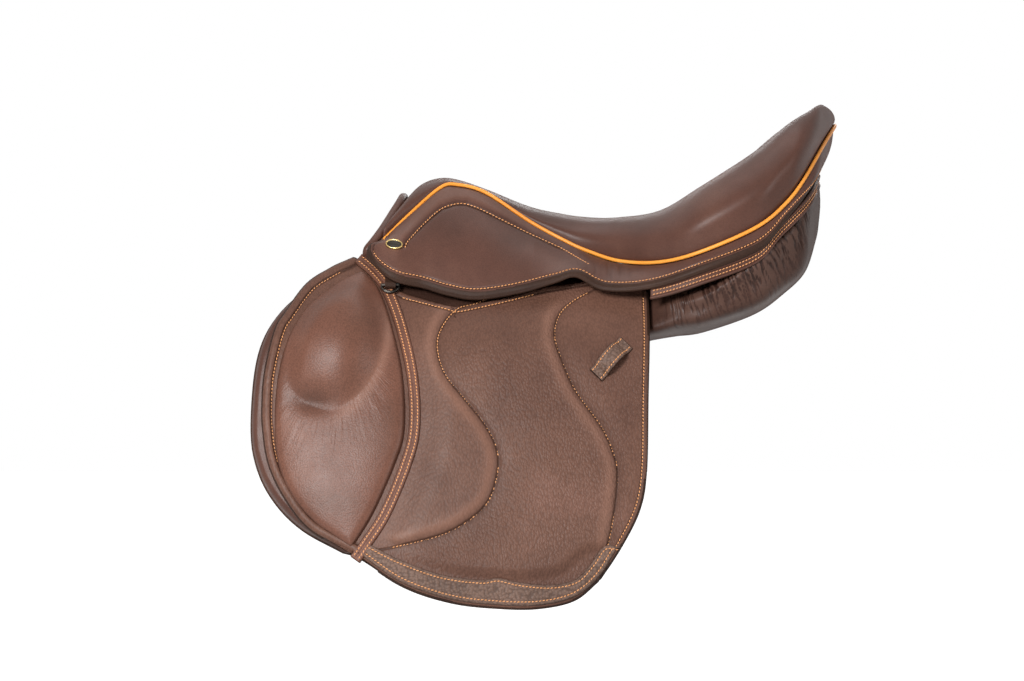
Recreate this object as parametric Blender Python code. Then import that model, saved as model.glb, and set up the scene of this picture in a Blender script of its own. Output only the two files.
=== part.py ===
# English close-contact jumping saddle, in metres, +Z up, +X to the cantle, -Y the near (left) side.
# The origin is on the centre plane, level with the lowest line of the rear panels.

import math

import bmesh
import bpy
import numpy as np
from mathutils import Matrix

for old in list(bpy.data.objects):
    bpy.data.objects.remove(old, do_unlink=True)

# Seat and skirt sizes
SEAT_RUN = 0.437
SEAT_FRONT = -0.149
COVER_THICK = 0.0025
FOAM_DROP = 0.024
FOAM_GAP = 0.0068
SKIRT_THICK = 0.004
SKIRT_ARCH = 0.008
SKIRT_FULL = 0.09
SEAM = 0.0046
WELT_RADIUS = 0.0022
SKIRT_FOLD_Z = 0.076

# Tree and its steel
TREE_THICK = 0.012
TREE_UNDER_SKIRT = 0.0255
TREE_SHARE = 0.56
TREE_REAR_INSET = 0.018
TREE_RISE_START = 11
FOAM_DROP_REAR = 0.008
WING_START = 0.2
WING_END = 0.93
PLATE_THICK = 0.002
SPRING_THICK = 0.002
WEB_THICK = 0.0015
SNUG = 0.0009

# Flap layers, measured inwards from the flap's outer face
FLAP_THICK = 0.005
GUARD_THICK = 0.002
GUARD_DEPTH = 0.0063
BILLET_THICK = 0.004
BILLET_DEPTH = 0.0098
BILLET_WIDTH = 0.030
BILLET_LENGTH = 0.245
BILLET_TOP = 0.030
BILLET_FRONT_X = -0.075
BILLET_SPACING = 0.080
SWEAT_DEPTH = 0.017
SWEAT_THICK = 0.0045
SWEAT_PAD_EDGE = 0.002
FOLD_GAP = 0.0007

# Pieces on the flap
BAND_WIDTH = 0.011
BAND_THICK = 0.003
BLOCK_EDGE = 0.003
BLOCK_CROWN = 0.021
STRIP_THICK = 0.0018
KEEPER_LENGTH = 0.034
KEEPER_WIDTH = 0.015
KEEPER_THICK = 0.0032
KEEPER_RISE = 0.0075
LAYER_GAP = 0.0007

# Stirrup bar
BAR_X = -0.079
BAR_Z = 0.080
BAR_LENGTH = 0.078
BAR_HEIGHT = 0.013
BAR_THICK = 0.005
BAR_SLOT = 0.0065
BAR_PLATE_THICK = 0.0035
BAR_PLATE_HEIGHT = 0.024
CATCH_LENGTH = 0.020
PIN_RADIUS = 0.002
PIN_CLEARANCE = 0.00035
RIVET_RADIUS = 0.0035
RIVET_RISE = 0.0055

# Dee ring and nail
DEE_X = -0.1425
DEE_Z = 0.050
DEE_RADIUS = 0.0085
DEE_WIRE = 0.0015
CHAPE_WIDTH = 0.010
CHAPE_THICK = 0.0016
NAIL_LENGTH = 0.017
NAIL_HEIGHT = 0.011
NAIL_TILT = 0.2

# Panels
PANEL_CROWN = 0.007
BRIDGE_THICK = 0.0025
GUSSET_STRIP = 0.012
GUSSET_STRIP_THICK = 0.0025
GUSSET_INSET = 0.0055
GUSSET_START = 8.6

# Stations from the pommel to the cantle: fractions of SEAT_RUN for x, metres for the rest.
# centre x, centre z, crest z, welt x, welt y, welt z, skirt edge x, skirt edge y, skirt edge z
STATIONS = (
    (0.055, 0.143, 0.125, 0.000, 0.075, 0.0965, -0.0305, 0.099, 0.0735),
    (0.085, 0.154, 0.148, 0.055, 0.062, 0.121, 0.016, 0.1145, 0.0585),
    (0.119, 0.159, 0.157, 0.121, 0.050, 0.147, 0.0847, 0.115, 0.0525),
    (0.162, 0.157, 0.1555, 0.158, 0.047, 0.150, 0.1396, 0.119, 0.0455),
    (0.227, 0.147, 0.1465, 0.222, 0.048, 0.142, 0.2037, 0.122, 0.0415),
    (0.318, 0.131, 0.1295, 0.318, 0.055, 0.114, 0.295, 0.124, 0.048),
    (0.398, 0.1235, 0.1205, 0.391, 0.063, 0.096, 0.368, 0.124, 0.058),
    (0.455, 0.1205, 0.117, 0.444, 0.071, 0.085, 0.419, 0.123, 0.0645),
    (0.522, 0.119, 0.118, 0.515, 0.088, 0.075, 0.478, 0.125, 0.050),
    (0.611, 0.119, 0.125, 0.600, 0.113, 0.0735, 0.570, 0.134, 0.0465),
    (0.700, 0.131, 0.1475, 0.684, 0.135, 0.0805, 0.682, 0.148, 0.0585),
    (0.810, 0.157, 0.181, 0.805, 0.138, 0.106, 0.810, 0.146, 0.0895),
    (0.890, 0.189, 0.209, 0.870, 0.125, 0.129, 0.870, 0.131, 0.113),
    (0.941, 0.209, 0.223, 0.911, 0.107, 0.152, 0.913, 0.112, 0.133),
    (0.977, 0.221, 0.228, 0.959, 0.066, 0.186, 0.941, 0.080, 0.151),
    (1.000, 0.211, 0.211, 1.000, 0.000, 0.211, 0.963, 0.000, 0.165),
)
LAST_STATION = len(STATIONS) - 1.0
SEAT_BULGE = 0.006

# How far the flap's outer face stands from the centre plane at each height
FLAP_HEIGHTS = (-0.29, -0.245, -0.2, -0.12, -0.06, 0.0, 0.03, 0.046, 0.06, 0.072, 0.084, 0.1)
FLAP_OUT = (0.2245, 0.2185, 0.208, 0.186, 0.166, 0.139, 0.119, 0.107, 0.096, 0.086, 0.076, 0.062)
FLAP_BOW_X = -0.06
FLAP_BOW_RADIUS = 1.2

# Fold line of the flap, as x and z at its front and rear ends
FOLD_FRONT = (-0.2225, 0.0536)
FOLD_REAR = (0.1018, 0.0052)


def material(name, colour, roughness, metallic=0.0):
    made = bpy.data.materials.new(name)
    made.use_nodes = True
    shader = made.node_tree.nodes["Principled BSDF"]
    shader.inputs["Base Color"].default_value = (*colour, 1.0)
    shader.inputs["Roughness"].default_value = roughness
    shader.inputs["Metallic"].default_value = metallic
    return made


smooth_leather = material("smooth leather", (0.115, 0.052, 0.038), 0.38)
grained_leather = material("grained leather", (0.105, 0.052, 0.040), 0.5)
pebbled_leather = material("pebbled leather", (0.090, 0.055, 0.046), 0.6)
lining_leather = material("lining leather", (0.080, 0.040, 0.030), 0.55)
welt_leather = material("welt leather", (0.78, 0.30, 0.06), 0.45)
laminated_wood = material("laminated beech", (0.52, 0.34, 0.18), 0.6)
forged_steel = material("forged steel", (0.55, 0.55, 0.56), 0.35, 1.0)
solid_brass = material("brass", (0.72, 0.52, 0.25), 0.3, 1.0)
woven_web = material("woven web", (0.62, 0.58, 0.48), 0.9)
cushion_foam = material("foam", (0.75, 0.72, 0.62), 0.95)


def along(points, place):
    """Point on the smooth curve through points, where whole numbers are the points themselves."""
    table = np.asarray(points, float)
    last = len(table) - 1
    first = int(min(max(math.floor(place), 0), last - 1))
    f = place - first
    a = table[first - 1] if first else 2 * table[0] - table[1]
    b = table[first]
    c = table[first + 1]
    d = table[first + 2] if first + 2 <= last else 2 * table[last] - table[last - 1]
    return 0.5 * (2 * b + (c - a) * f + (2 * a - 5 * b + 4 * c - d) * f**2 + (3 * b - a - 3 * c + d) * f**3)


def even_curve(points, count):
    """Points at even distances along the smooth curve through the given ones."""
    fine = np.array([along(points, place) for place in np.linspace(0, len(points) - 1, 20 * len(points))])
    steps = np.linalg.norm(np.diff(fine, axis=0), axis=1)
    length = np.concatenate(([0.0], np.cumsum(steps)))
    wanted = np.linspace(0, length[-1], count)
    return np.stack([np.interp(wanted, length, fine[:, axis]) for axis in range(fine.shape[1])], axis=1)


def ease(value):
    value = min(max(value, 0.0), 1.0)
    return value * value * (3 - 2 * value)


def add_object(name, made, finish, pivot=None):
    """Object from a bmesh; a pivot is an empty on the joint's axis that carries it."""
    bmesh.ops.remove_doubles(made, verts=made.verts, dist=0.00002)
    bmesh.ops.recalc_face_normals(made, faces=made.faces)
    if made.calc_volume(signed=True) < 0:
        bmesh.ops.reverse_faces(made, faces=made.faces)
    mesh = bpy.data.meshes.new(name)
    made.to_mesh(mesh)
    made.free()
    item = bpy.data.objects.new(name, mesh)
    if pivot is not None:
        mesh.transform(Matrix.Translation(-pivot.location))
        item.parent = pivot
    mesh.materials.append(finish)
    mesh.shade_smooth()
    mesh.set_sharp_from_angle(angle=math.radians(40))
    bpy.context.scene.collection.objects.link(item)
    return item


def add_pivot(name, place):
    pivot = bpy.data.objects.new(name, None)
    pivot.location = place
    pivot.empty_display_size = 0.03
    bpy.context.scene.collection.objects.link(pivot)
    return pivot


def sheet(name, outer, inner, finish, keep=None, pivot=None):
    """Closed body between two grids of points; keep(row, column) says which cells it fills."""
    rows, columns = outer.shape[:2]
    made = bmesh.new()
    front = [[made.verts.new(outer[i, j]) for j in range(columns)] for i in range(rows)]
    back = [[made.verts.new(inner[i, j]) for j in range(columns)] for i in range(rows)]
    kept = {(i, j) for i in range(rows - 1) for j in range(columns - 1) if keep is None or keep(i, j)}
    for i, j in sorted(kept):
        for layer in (front, back):
            a, b, c, d = layer[i][j], layer[i][j + 1], layer[i + 1][j + 1], layer[i + 1][j]
            made.faces.new((a, b, c))
            made.faces.new((a, c, d))
        edges = (
            ((i - 1, j), (i, j), (i, j + 1)),
            ((i + 1, j), (i + 1, j + 1), (i + 1, j)),
            ((i, j - 1), (i + 1, j), (i, j)),
            ((i, j + 1), (i, j + 1), (i + 1, j + 1)),
        )
        for beside, (a, b), (c, d) in edges:
            if beside not in kept:
                made.faces.new((front[a][b], back[a][b], back[c][d], front[c][d]))
    loose = [vert for vert in made.verts if not vert.link_faces]
    bmesh.ops.delete(made, geom=loose, context="VERTS")
    return add_object(name, made, finish, pivot)


def tube(name, path, section, finish, closed=False, up=(0, 0, 1), pivot=None):
    """Body swept along path from a section of (across, up) points."""
    path = np.asarray(path, float)
    count = len(path)
    ahead = np.roll(path, -1, axis=0) - np.roll(path, 1, axis=0)
    if not closed:
        ahead[0] = path[1] - path[0]
        ahead[-1] = path[-1] - path[-2]
    made = bmesh.new()
    rings = []
    for point, direction in zip(path, ahead):
        direction = direction / np.linalg.norm(direction)
        across = np.cross(direction, up)
        across /= np.linalg.norm(across)
        above = np.cross(across, direction)
        rings.append([made.verts.new(point + across * a + above * b) for a, b in section])
    for index in range(count if closed else count - 1):
        this, following = rings[index], rings[(index + 1) % count]
        for k in range(len(section)):
            m = (k + 1) % len(section)
            made.faces.new((this[k], this[m], following[m], following[k]))
    if not closed:
        made.faces.new(rings[0])
        made.faces.new(rings[-1])
    return add_object(name, made, finish, pivot)


def oval(across, high, sides):
    angles = [2 * math.pi * (k + 0.5) / sides for k in range(sides)]
    return [(across * math.cos(a), high * math.sin(a)) for a in angles]


def block_cells(name, profile, low, high, to_world, finish, pivot=None):
    """Profile of (a, b) points, extruded from low to high and placed by to_world(a, b, c)."""
    made = bmesh.new()
    start = [made.verts.new(to_world(a, b, low)) for a, b in profile]
    end = [made.verts.new(to_world(a, b, high)) for a, b in profile]
    made.faces.new(start)
    made.faces.new(end)
    for k in range(len(profile)):
        m = (k + 1) % len(profile)
        made.faces.new((start[k], start[m], end[m], end[k]))
    return add_object(name, made, finish, pivot)


def seat_x(fraction):
    return SEAT_FRONT + fraction * SEAT_RUN


def seat_lines(u):
    """Centre, crest, welt and skirt edge at a station, for the half with y above zero."""
    row = along(STATIONS, u)
    centre = np.array((seat_x(row[0]), 0.0, row[1]))
    welt = np.array((seat_x(row[3]), row[4], row[5]))
    edge = np.array((seat_x(row[6]), row[7], row[8]))
    return centre, row[2], welt, edge


def seat_point(u, w):
    """Top of the seat: w runs from 0 at the centre to 1 at the welt, and below 0 to the other side."""
    side = -1.0 if w < 0 else 1.0
    centre, crest, welt, _ = seat_lines(u)
    fat = SEAT_BULGE * ease((u - 7) / 2) * ease((LAST_STATION - u) / 2)
    high = centre * 0.5 + welt * 0.5
    crest_point = np.array((high[0], 0.62 * welt[1], crest))
    out = centre * 0.1 + welt * 0.9
    shoulder = np.array((out[0], welt[1] * 0.985 + fat, 0.5 * welt[2] + 0.5 * crest))
    mirrored = crest_point * (1, -1, 1)
    point = along((mirrored, centre, crest_point, shoulder, welt), 1 + 3 * abs(w))
    return point * (1, side, 1)


def skirt_middle(u):
    """Middle of the skirt at a station, which goes on round the back past the last one."""
    if u > LAST_STATION:
        return skirt_middle(2 * LAST_STATION - u) * (1, -1, 1)
    _, _, welt, edge = seat_lines(u)
    return (welt + edge) / 2


def skirt_normal(u):
    _, _, welt, edge = seat_lines(u)
    ahead = skirt_middle(u + 0.15) - skirt_middle(u - 0.15)
    out = np.cross(ahead, edge - welt)
    return out / np.linalg.norm(out)


def skirt_point(u, v, depth=0.0):
    """Outer face of the skirt: v runs from 0 at the welt to 1 at the lower edge."""
    _, _, welt, edge = seat_lines(u)
    arch = SKIRT_ARCH * (1 - 0.6 * ease((u - 5) / 2)) * (1 - 0.8 * ease((u - 10) / 2))
    arch *= min(1.0, (np.linalg.norm(edge - welt) / SKIRT_FULL) ** 2)
    return welt * (1 - v) + edge * v + skirt_normal(u) * (arch * math.sin(math.pi * min(v, 1.0)) - depth)


def surface(point_of, rows, columns):
    return np.array([[point_of(u, c) for c in columns] for u in rows])


def raised(point_of, rows, columns, lift):
    """Grid of points lift above a surface, along its own normals."""
    step = 0.01

    def place(u, c):
        ahead = point_of(u + step, c) - point_of(u - step, c)
        across = point_of(u, c + step) - point_of(u, c - step)
        out = np.cross(ahead, across)
        size = np.linalg.norm(out)
        return point_of(u, c) + out * (lift / size if size > 0 else 0.0)

    return surface(place, rows, columns)


def corner_normals(grid):
    """Mean of the normals of the cells around each point of a grid."""
    cells = np.cross(grid[1:, :-1] - grid[:-1, 1:], grid[1:, 1:] - grid[:-1, :-1])
    cells /= np.linalg.norm(cells, axis=2, keepdims=True)
    around = np.zeros_like(grid)
    for corner in (around[1:, 1:], around[:-1, 1:], around[1:, :-1], around[:-1, :-1]):
        corner += cells
    return around / np.linalg.norm(around, axis=2, keepdims=True)


def columns_of(half):
    """Column values across both sides from those of one half."""
    return [-value for value in reversed(half)] + [value for value in half if value]


def seat_share(u, share):
    """w at a share of the way from the centre to the seat's sewn edge, just short of the welt."""
    welt = seat_lines(u)[2]
    speed = np.linalg.norm(welt - seat_point(u, 0.97)) / 0.03
    return share * (1 - min(1.2 * SEAM / max(speed, 1e-6), 0.4))


def make_seat_cover():
    rows = np.linspace(0, LAST_STATION - 0.25, 24)
    columns = columns_of((0, 0.14, 0.28, 0.42, 0.55, 0.68, 0.8, 0.9, 1.0))

    def top(u, c):
        return seat_point(u, seat_share(u, c))

    sheet("seat_cover", surface(top, rows, columns), raised(top, rows, columns, -COVER_THICK), smooth_leather)


def tree_point(u, c):
    """Top of the tree: c runs from 0 to 1 across the seat, and from 1 to 2 down the wing under the skirt."""
    side = -1.0 if c < 0 else 1.0
    c = abs(c)
    if c > 1:
        return skirt_point(u, WING_START + (WING_END - WING_START) * (c - 1), TREE_UNDER_SKIRT) * (1, side, 1)
    rear = ease((u - TREE_RISE_START) / 3)
    point = seat_point(u, TREE_SHARE * c)
    drop = FOAM_DROP + FOAM_DROP_REAR * rear
    return (point - np.array((TREE_REAR_INSET * rear, 0.0, drop))) * (1, side, 1)


# Columns of the tree: the open middle ends where the rails start, and the wings end in the points.
RAIL_INNER = 0.56
RAIL_OUTER = 0.76
TOP_END = 0.95
POINT_START = 1.74
TREE_ROWS = np.concatenate((np.linspace(0.45, 1.7, 4), np.linspace(2.3, 4.7, 5), np.linspace(5.6, 14.2, 12)))
TREE_TOP_COLUMNS = (0, 0.2, 0.38, RAIL_INNER, RAIL_OUTER, TOP_END)
TREE_WING_COLUMNS = (1.22, 1.42, 1.6, POINT_START, 1.88, 2.0)
TREE_COLUMNS = np.array(columns_of(TREE_TOP_COLUMNS + TREE_WING_COLUMNS))
TREE_GRID = surface(tree_point, TREE_ROWS, TREE_COLUMNS)
TREE_NORMALS = corner_normals(TREE_GRID)


def tree_layer(lift, rows=slice(None), least=-2.0, most=2.0):
    """Part of the tree's top face between two columns, raised by lift or lowered where it is negative."""
    wanted = (TREE_COLUMNS >= least) & (TREE_COLUMNS <= most)
    return (TREE_GRID + TREE_NORMALS * lift)[rows][:, wanted]


def make_seat_foam():
    def top(u, c):
        return seat_point(u, seat_share(u, 0.85 * c))

    upper = raised(top, TREE_ROWS, columns_of(TREE_TOP_COLUMNS), -COVER_THICK - FOAM_GAP)
    lower = tree_layer(2 * SNUG + PLATE_THICK, least=-TOP_END, most=TOP_END)
    sheet("seat_foam", upper, lower, cushion_foam)


def make_tree():
    def keep(i, j):
        low = min(abs(TREE_COLUMNS[j]), abs(TREE_COLUMNS[j + 1]))
        if low >= POINT_START:
            return TREE_ROWS[i + 1] < 1.8
        if low >= TOP_END:
            return TREE_ROWS[i + 1] < 4.8
        if low < 0.38:
            return TREE_ROWS[i + 1] < 2.4 or TREE_ROWS[i] > 10.2
        return True

    sheet("tree", tree_layer(0.0), tree_layer(-TREE_THICK), laminated_wood, keep)


def make_head_steel():
    head = {"rows": slice(0, 3), "least": -POINT_START, "most": POINT_START}
    sheet("head_plate", tree_layer(SNUG + PLATE_THICK, **head), tree_layer(SNUG, **head), forged_steel)
    arch = {"rows": slice(0, 3), "least": -RAIL_INNER, "most": RAIL_INNER}
    low = -TREE_THICK - SNUG
    sheet("gullet_plate", tree_layer(low, **arch), tree_layer(low - PLATE_THICK, **arch), forged_steel)


def make_springs():
    low = -TREE_THICK - SNUG
    for name, least, most in (("near", -RAIL_OUTER, -RAIL_INNER), ("off", RAIL_INNER, RAIL_OUTER)):
        rail = {"rows": slice(4, -4), "least": least, "most": most}
        under = tree_layer(low - SPRING_THICK, **rail)
        sheet("tree_spring_" + name, tree_layer(low, **rail), under, forged_steel)


def make_webbing():
    middle = {"rows": slice(4, -3), "least": -RAIL_INNER, "most": RAIL_INNER}
    sheet("seat_webbing", tree_layer(SNUG + WEB_THICK, **middle), tree_layer(SNUG, **middle), woven_web)


def make_welt():
    rows = np.concatenate((np.linspace(0, 13, 26), np.linspace(13.3, LAST_STATION, 6)))
    half = [seat_lines(u)[2] + skirt_normal(u) * WELT_RADIUS * 0.5 for u in rows]
    path = [point * (1, -1, 1) for point in half] + half[-2::-1]
    tube("seat_welt", path, oval(WELT_RADIUS, WELT_RADIUS, 6), welt_leather)


def skirt_fold(u):
    _, _, welt, edge = seat_lines(u)
    return min(max((welt[2] - SKIRT_FOLD_Z) / (welt[2] - edge[2]), 0.25), 0.95)


LOBE_START = 0.62
LOBE_END = 7.0
SKIRT_END = 11.7


def seam_share(u):
    """Share of a skirt row that keeps its top edge clear of the welt, measured square to the welt."""
    _, _, welt, edge = seat_lines(u)
    ahead = seat_lines(min(u + 0.05, LAST_STATION))[2] - seat_lines(u - 0.05)[2]
    square = np.linalg.norm(np.cross(ahead, edge - welt)) / np.linalg.norm(ahead)
    return min(SEAM / square, 0.3)


def skirt_surface(rows, shares, depth, gap=0.0):
    """Rows of the skirt, with shares below 1 above its fold line and from 1 to 2 below it."""
    def place(u, share):
        _, _, welt, edge = seat_lines(u)
        top = seam_share(u)
        fold = skirt_fold(u)
        if share > 1 or gap:
            fold += gap / np.linalg.norm(edge - welt)
            return skirt_point(u, fold + (1 - fold) * (share - 1), depth)
        return skirt_point(u, top + (fold - top) * share, depth)
    return surface(place, rows, shares)


def make_skirts():
    rows = np.concatenate((
        np.linspace(0, LOBE_START, 3), np.linspace(LOBE_START, 3.1, 8)[1:], np.linspace(3.1, LOBE_END, 7)[1:],
        np.linspace(LOBE_END, SKIRT_END, 8)[1:],
    ))
    shares = (0, 0.34, 0.67, 1, 1.35, 1.7, 2)
    lobe_rows = rows[(rows >= LOBE_START) & (rows <= LOBE_END)]
    lobe_rows = np.clip(lobe_rows, LOBE_START + 0.03, LOBE_END - 0.12)
    lobe_shares = (1, 1.35, 1.7, 2)
    hinge = skirt_hinge()

    def keep(i, j):
        return shares[j] < 1 or rows[i + 1] <= LOBE_START + 0.001 or rows[i] >= LOBE_END - 0.001

    for side, name in ((-1, "near"), (1, "off")):
        flip = np.array((1, side, 1))
        outer = skirt_surface(rows, shares, 0.0) * flip
        inner = skirt_surface(rows, shares, SKIRT_THICK) * flip
        sheet("skirt_top_" + name, outer, inner, smooth_leather, keep)
        pivot = add_pivot("skirt_fold_" + name, hinge * flip)
        outer = skirt_surface(lobe_rows, lobe_shares, 0.0, FOLD_GAP) * flip
        inner = skirt_surface(lobe_rows, lobe_shares, SKIRT_THICK, FOLD_GAP) * flip
        sheet("skirt_" + name, outer, inner, smooth_leather, pivot=pivot)


def skirt_hinge():
    """A point on the skirt's fold axis, just outside the leather at its widest."""
    spots = [skirt_point(u, skirt_fold(u)) for u in np.linspace(LOBE_START, LOBE_END, 15)]
    widest = max(spot[1] for spot in spots)
    return np.array((seat_x(0.2), widest + SNUG, SKIRT_FOLD_Z))


def make_cantle_back():
    half = np.linspace(SKIRT_END + 0.03, LAST_STATION, 9)
    shares = (0.0, 0.33, 0.67, 1.0)

    def place(u, share, depth):
        top = seam_share(u)
        return skirt_point(u, top + (1 - top) * share, depth)

    def both(depth):
        near = np.array([[place(u, s, depth) * (1, -1, 1) for s in shares] for u in half])
        off = np.array([[place(u, s, depth) for s in shares] for u in half[-2::-1]])
        return np.concatenate((near, off))

    sheet("cantle_back", both(0.0), both(SKIRT_THICK), smooth_leather)


# Half of the facing roll's line, from the middle of the head down to the flap
FACING_LINE = (
    (-0.1335, 0.0, 0.1405), (-0.1362, 0.025, 0.134), (-0.1442, 0.046, 0.1195),
    (-0.1515, 0.065, 0.1065), (-0.1585, 0.077, 0.096), (-0.1655, 0.085, 0.0865),
)
FACING_ACROSS = 0.0042
FACING_HIGH = 0.0045


def make_front_facing():
    ends = [(x, -y, z) for x, y, z in reversed(FACING_LINE)] + list(FACING_LINE[1:])
    section = oval(FACING_ACROSS, FACING_HIGH, 8)
    tube("front_facing", even_curve(ends, 25), section, smooth_leather, up=(1, 0, 0.4))


def hermite(xs, ys, x):
    """Smooth curve through ys at xs."""
    slopes = np.gradient(ys, xs)
    k = int(min(max(np.searchsorted(xs, x) - 1, 0), len(xs) - 2))
    width = xs[k + 1] - xs[k]
    f = (x - xs[k]) / width
    first = (2 * f**3 - 3 * f**2 + 1) * ys[k] + (f**3 - 2 * f**2 + f) * width * slopes[k]
    return first + (3 * f**2 - 2 * f**3) * ys[k + 1] + (f**3 - f**2) * width * slopes[k + 1]


def flap_out(x, z):
    """Distance of the flap's outer face from the centre plane."""
    bow = (x - FLAP_BOW_X) ** 2 / (2 * FLAP_BOW_RADIUS)
    return hermite(FLAP_HEIGHTS, FLAP_OUT, z) - bow * ease((0.03 - z) / 0.15)


def flap_normal(x, z):
    step = 0.002
    along_x = (flap_out(x + step, z) - flap_out(x - step, z)) / (2 * step)
    along_z = (flap_out(x, z + step) - flap_out(x, z - step)) / (2 * step)
    out = np.array((-along_x, 1.0, -along_z))
    return out / np.linalg.norm(out)


def flap_point(x, z, lift):
    """Point lift above the flap's outer face, or below it where lift is negative."""
    return np.array((x, flap_out(x, z), z)) + flap_normal(x, z) * lift


def patch(top, bottom, front, rear, across, down):
    """Grid of (x, z) points inside four edges; top and bottom run to the rear, the others down."""
    t, b = even_curve(top, across), even_curve(bottom, across)
    f, r = even_curve(front, down), even_curve(rear, down)
    grid = np.zeros((down, across, 2))
    for i, v in enumerate(np.linspace(0, 1, down)):
        for j, u in enumerate(np.linspace(0, 1, across)):
            ruled = (1 - v) * t[j] + v * b[j] + (1 - u) * f[i] + u * r[i]
            corners = (1 - u) * ((1 - v) * t[0] + v * b[0]) + u * ((1 - v) * t[-1] + v * b[-1])
            grid[i, j] = ruled - corners
    return grid


def side_sheet(name, grid, side, outer_lift, inner_lift, finish, pivot=None):
    """Layer on the flap; a lift is a height, or a function of (u, v) from 0 to 1."""
    down, across = grid.shape[:2]

    def raised(lift):
        points = np.zeros((down, across, 3))
        for i in range(down):
            for j in range(across):
                height = lift(j / (across - 1), i / (down - 1)) if callable(lift) else lift
                points[i, j] = flap_point(*grid[i, j], height) * (1, side, 1)
        return points

    return sheet(name, raised(outer_lift), raised(inner_lift), finish, pivot=pivot)


FLAP_FRONT_EDGE = (
    FOLD_FRONT, (-0.2415, 0.026), (-0.2501, 0.0099), (-0.2583, -0.0276), (-0.2605, -0.0555),
    (-0.2595, -0.0832), (-0.2533, -0.1155), (-0.2369, -0.1475), (-0.2134, -0.1748), (-0.1743, -0.1957),
)
FLAP_BOTTOM_EDGE = (
    (-0.1743, -0.1957), (-0.130, -0.2248), (-0.0839, -0.2402), (-0.038, -0.2456), (-0.0013, -0.2456),
    (0.0309, -0.2383), (0.0539, -0.2202),
)
FLAP_REAR_EDGE = (
    FOLD_REAR, (0.0999, -0.0555), (0.098, -0.120), (0.0912, -0.1565), (0.0725, -0.1929), (0.0539, -0.2202),
)
HEAD_TOP_EDGE = (
    (-0.181, 0.0785), (-0.150, 0.066), (-0.10, 0.0635), (0.0, 0.060), (0.06, 0.055), (0.1016, 0.047),
)
HEAD_FRONT_MIDDLE = (-0.2004, 0.0691)
BAND_LINE = (
    (-0.1457, 0.0345), (-0.1324, 0.0099), (-0.1195, -0.0369), (-0.1172, -0.0832), (-0.1262, -0.120),
    (-0.1443, -0.161), (-0.1655, -0.1915),
)
BLOCK_FRONT_EDGE = (
    (-0.2145, 0.0440), (-0.2315, 0.0195), (-0.2395, 0.0055), (-0.2473, -0.0285), (-0.2485, -0.083),
    (-0.2425, -0.1125), (-0.228, -0.141), (-0.206, -0.1665), (-0.183, -0.181),
)
BLOCK_REAR_TOP = (-0.1575, 0.0345)
BLOCK_REAR_LOW = (-0.1755, -0.1885)
STRIP_TOP_EDGE = (
    (-0.1535, -0.188), (-0.130, -0.2018), (-0.0932, -0.2156), (-0.0564, -0.2202), (-0.038, -0.2176),
    (-0.0196, -0.222), (0.0079, -0.2247), (0.0309, -0.2202), (0.0447, -0.2064), (0.0566, -0.1907),
)
STRIP_BOTTOM_EDGE = (
    (-0.1575, -0.2022), (-0.129, -0.2218), (-0.0835, -0.2372), (-0.038, -0.2426), (-0.0013, -0.2426),
    (0.0295, -0.2354), (0.0515, -0.2185), (0.0695, -0.1915),
)
SWEAT_FRONT_EDGE = (
    (-0.196, 0.062), (-0.226, 0.049), (-0.250, 0.022), (-0.265, -0.020), (-0.272, -0.083),
    (-0.266, -0.118), (-0.250, -0.148), (-0.224, -0.172), (-0.186, -0.192),
)
SWEAT_BOTTOM_EDGE = ((-0.186, -0.192), (-0.120, -0.207), (-0.040, -0.216), (0.025, -0.207), (0.058, -0.188))
SWEAT_REAR_EDGE = ((0.070, 0.040), (0.074, -0.040), (0.071, -0.120), (0.058, -0.188))
KEEPER_PLACE = (0.0659, -0.0183)
KEEPER_ALONG = (0.69, 0.724)
NAIL_STATION = 0.8
NAIL_SHARE = 0.56


def fold_point(share, drop=0.0):
    """(x, z) on the flap's fold line, drop below it."""
    x = FOLD_FRONT[0] * (1 - share) + FOLD_REAR[0] * share
    z = FOLD_FRONT[1] * (1 - share) + FOLD_REAR[1] * share
    return (x, z - drop)


def flap_hinge():
    """Middle and direction of the flap's fold axis, just outside the leather all along."""
    front, rear = (flap_point(*end, 0.0) for end in (FOLD_FRONT, FOLD_REAR))
    shares = np.linspace(0, 1, 13)
    worst = max(flap_out(*fold_point(s)) - (front[1] * (1 - s) + rear[1] * s) for s in shares)
    middle = (front + rear) / 2 + np.array((0, max(worst, 0.0) + SNUG, 0))
    return middle, (rear - front) / np.linalg.norm(rear - front)


def ribbon(centre, width, count, columns=3):
    """Grid of (x, z) points along a line, width across."""
    line = even_curve(centre, count)
    ahead = np.gradient(line, axis=0)
    across = np.stack((-ahead[:, 1], ahead[:, 0]), axis=1)
    across /= np.linalg.norm(across, axis=1, keepdims=True)
    offsets = np.linspace(width / 2, -width / 2, columns)
    return np.stack([line + across * offset for offset in offsets], axis=1)


def block_height(u, v):
    """Height of the knee block: full near its upper middle, drawn down at its edges."""
    rim = (math.sin(math.pi * u) ** 0.6) * (math.sin(math.pi * v) ** 0.5)
    swell = 0.5 + 0.5 * math.exp(-((u - 0.5) ** 2) / 0.1 - ((v - 0.36) ** 2) / 0.09)
    return LAYER_GAP + BLOCK_EDGE + BLOCK_CROWN * rim * swell


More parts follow.
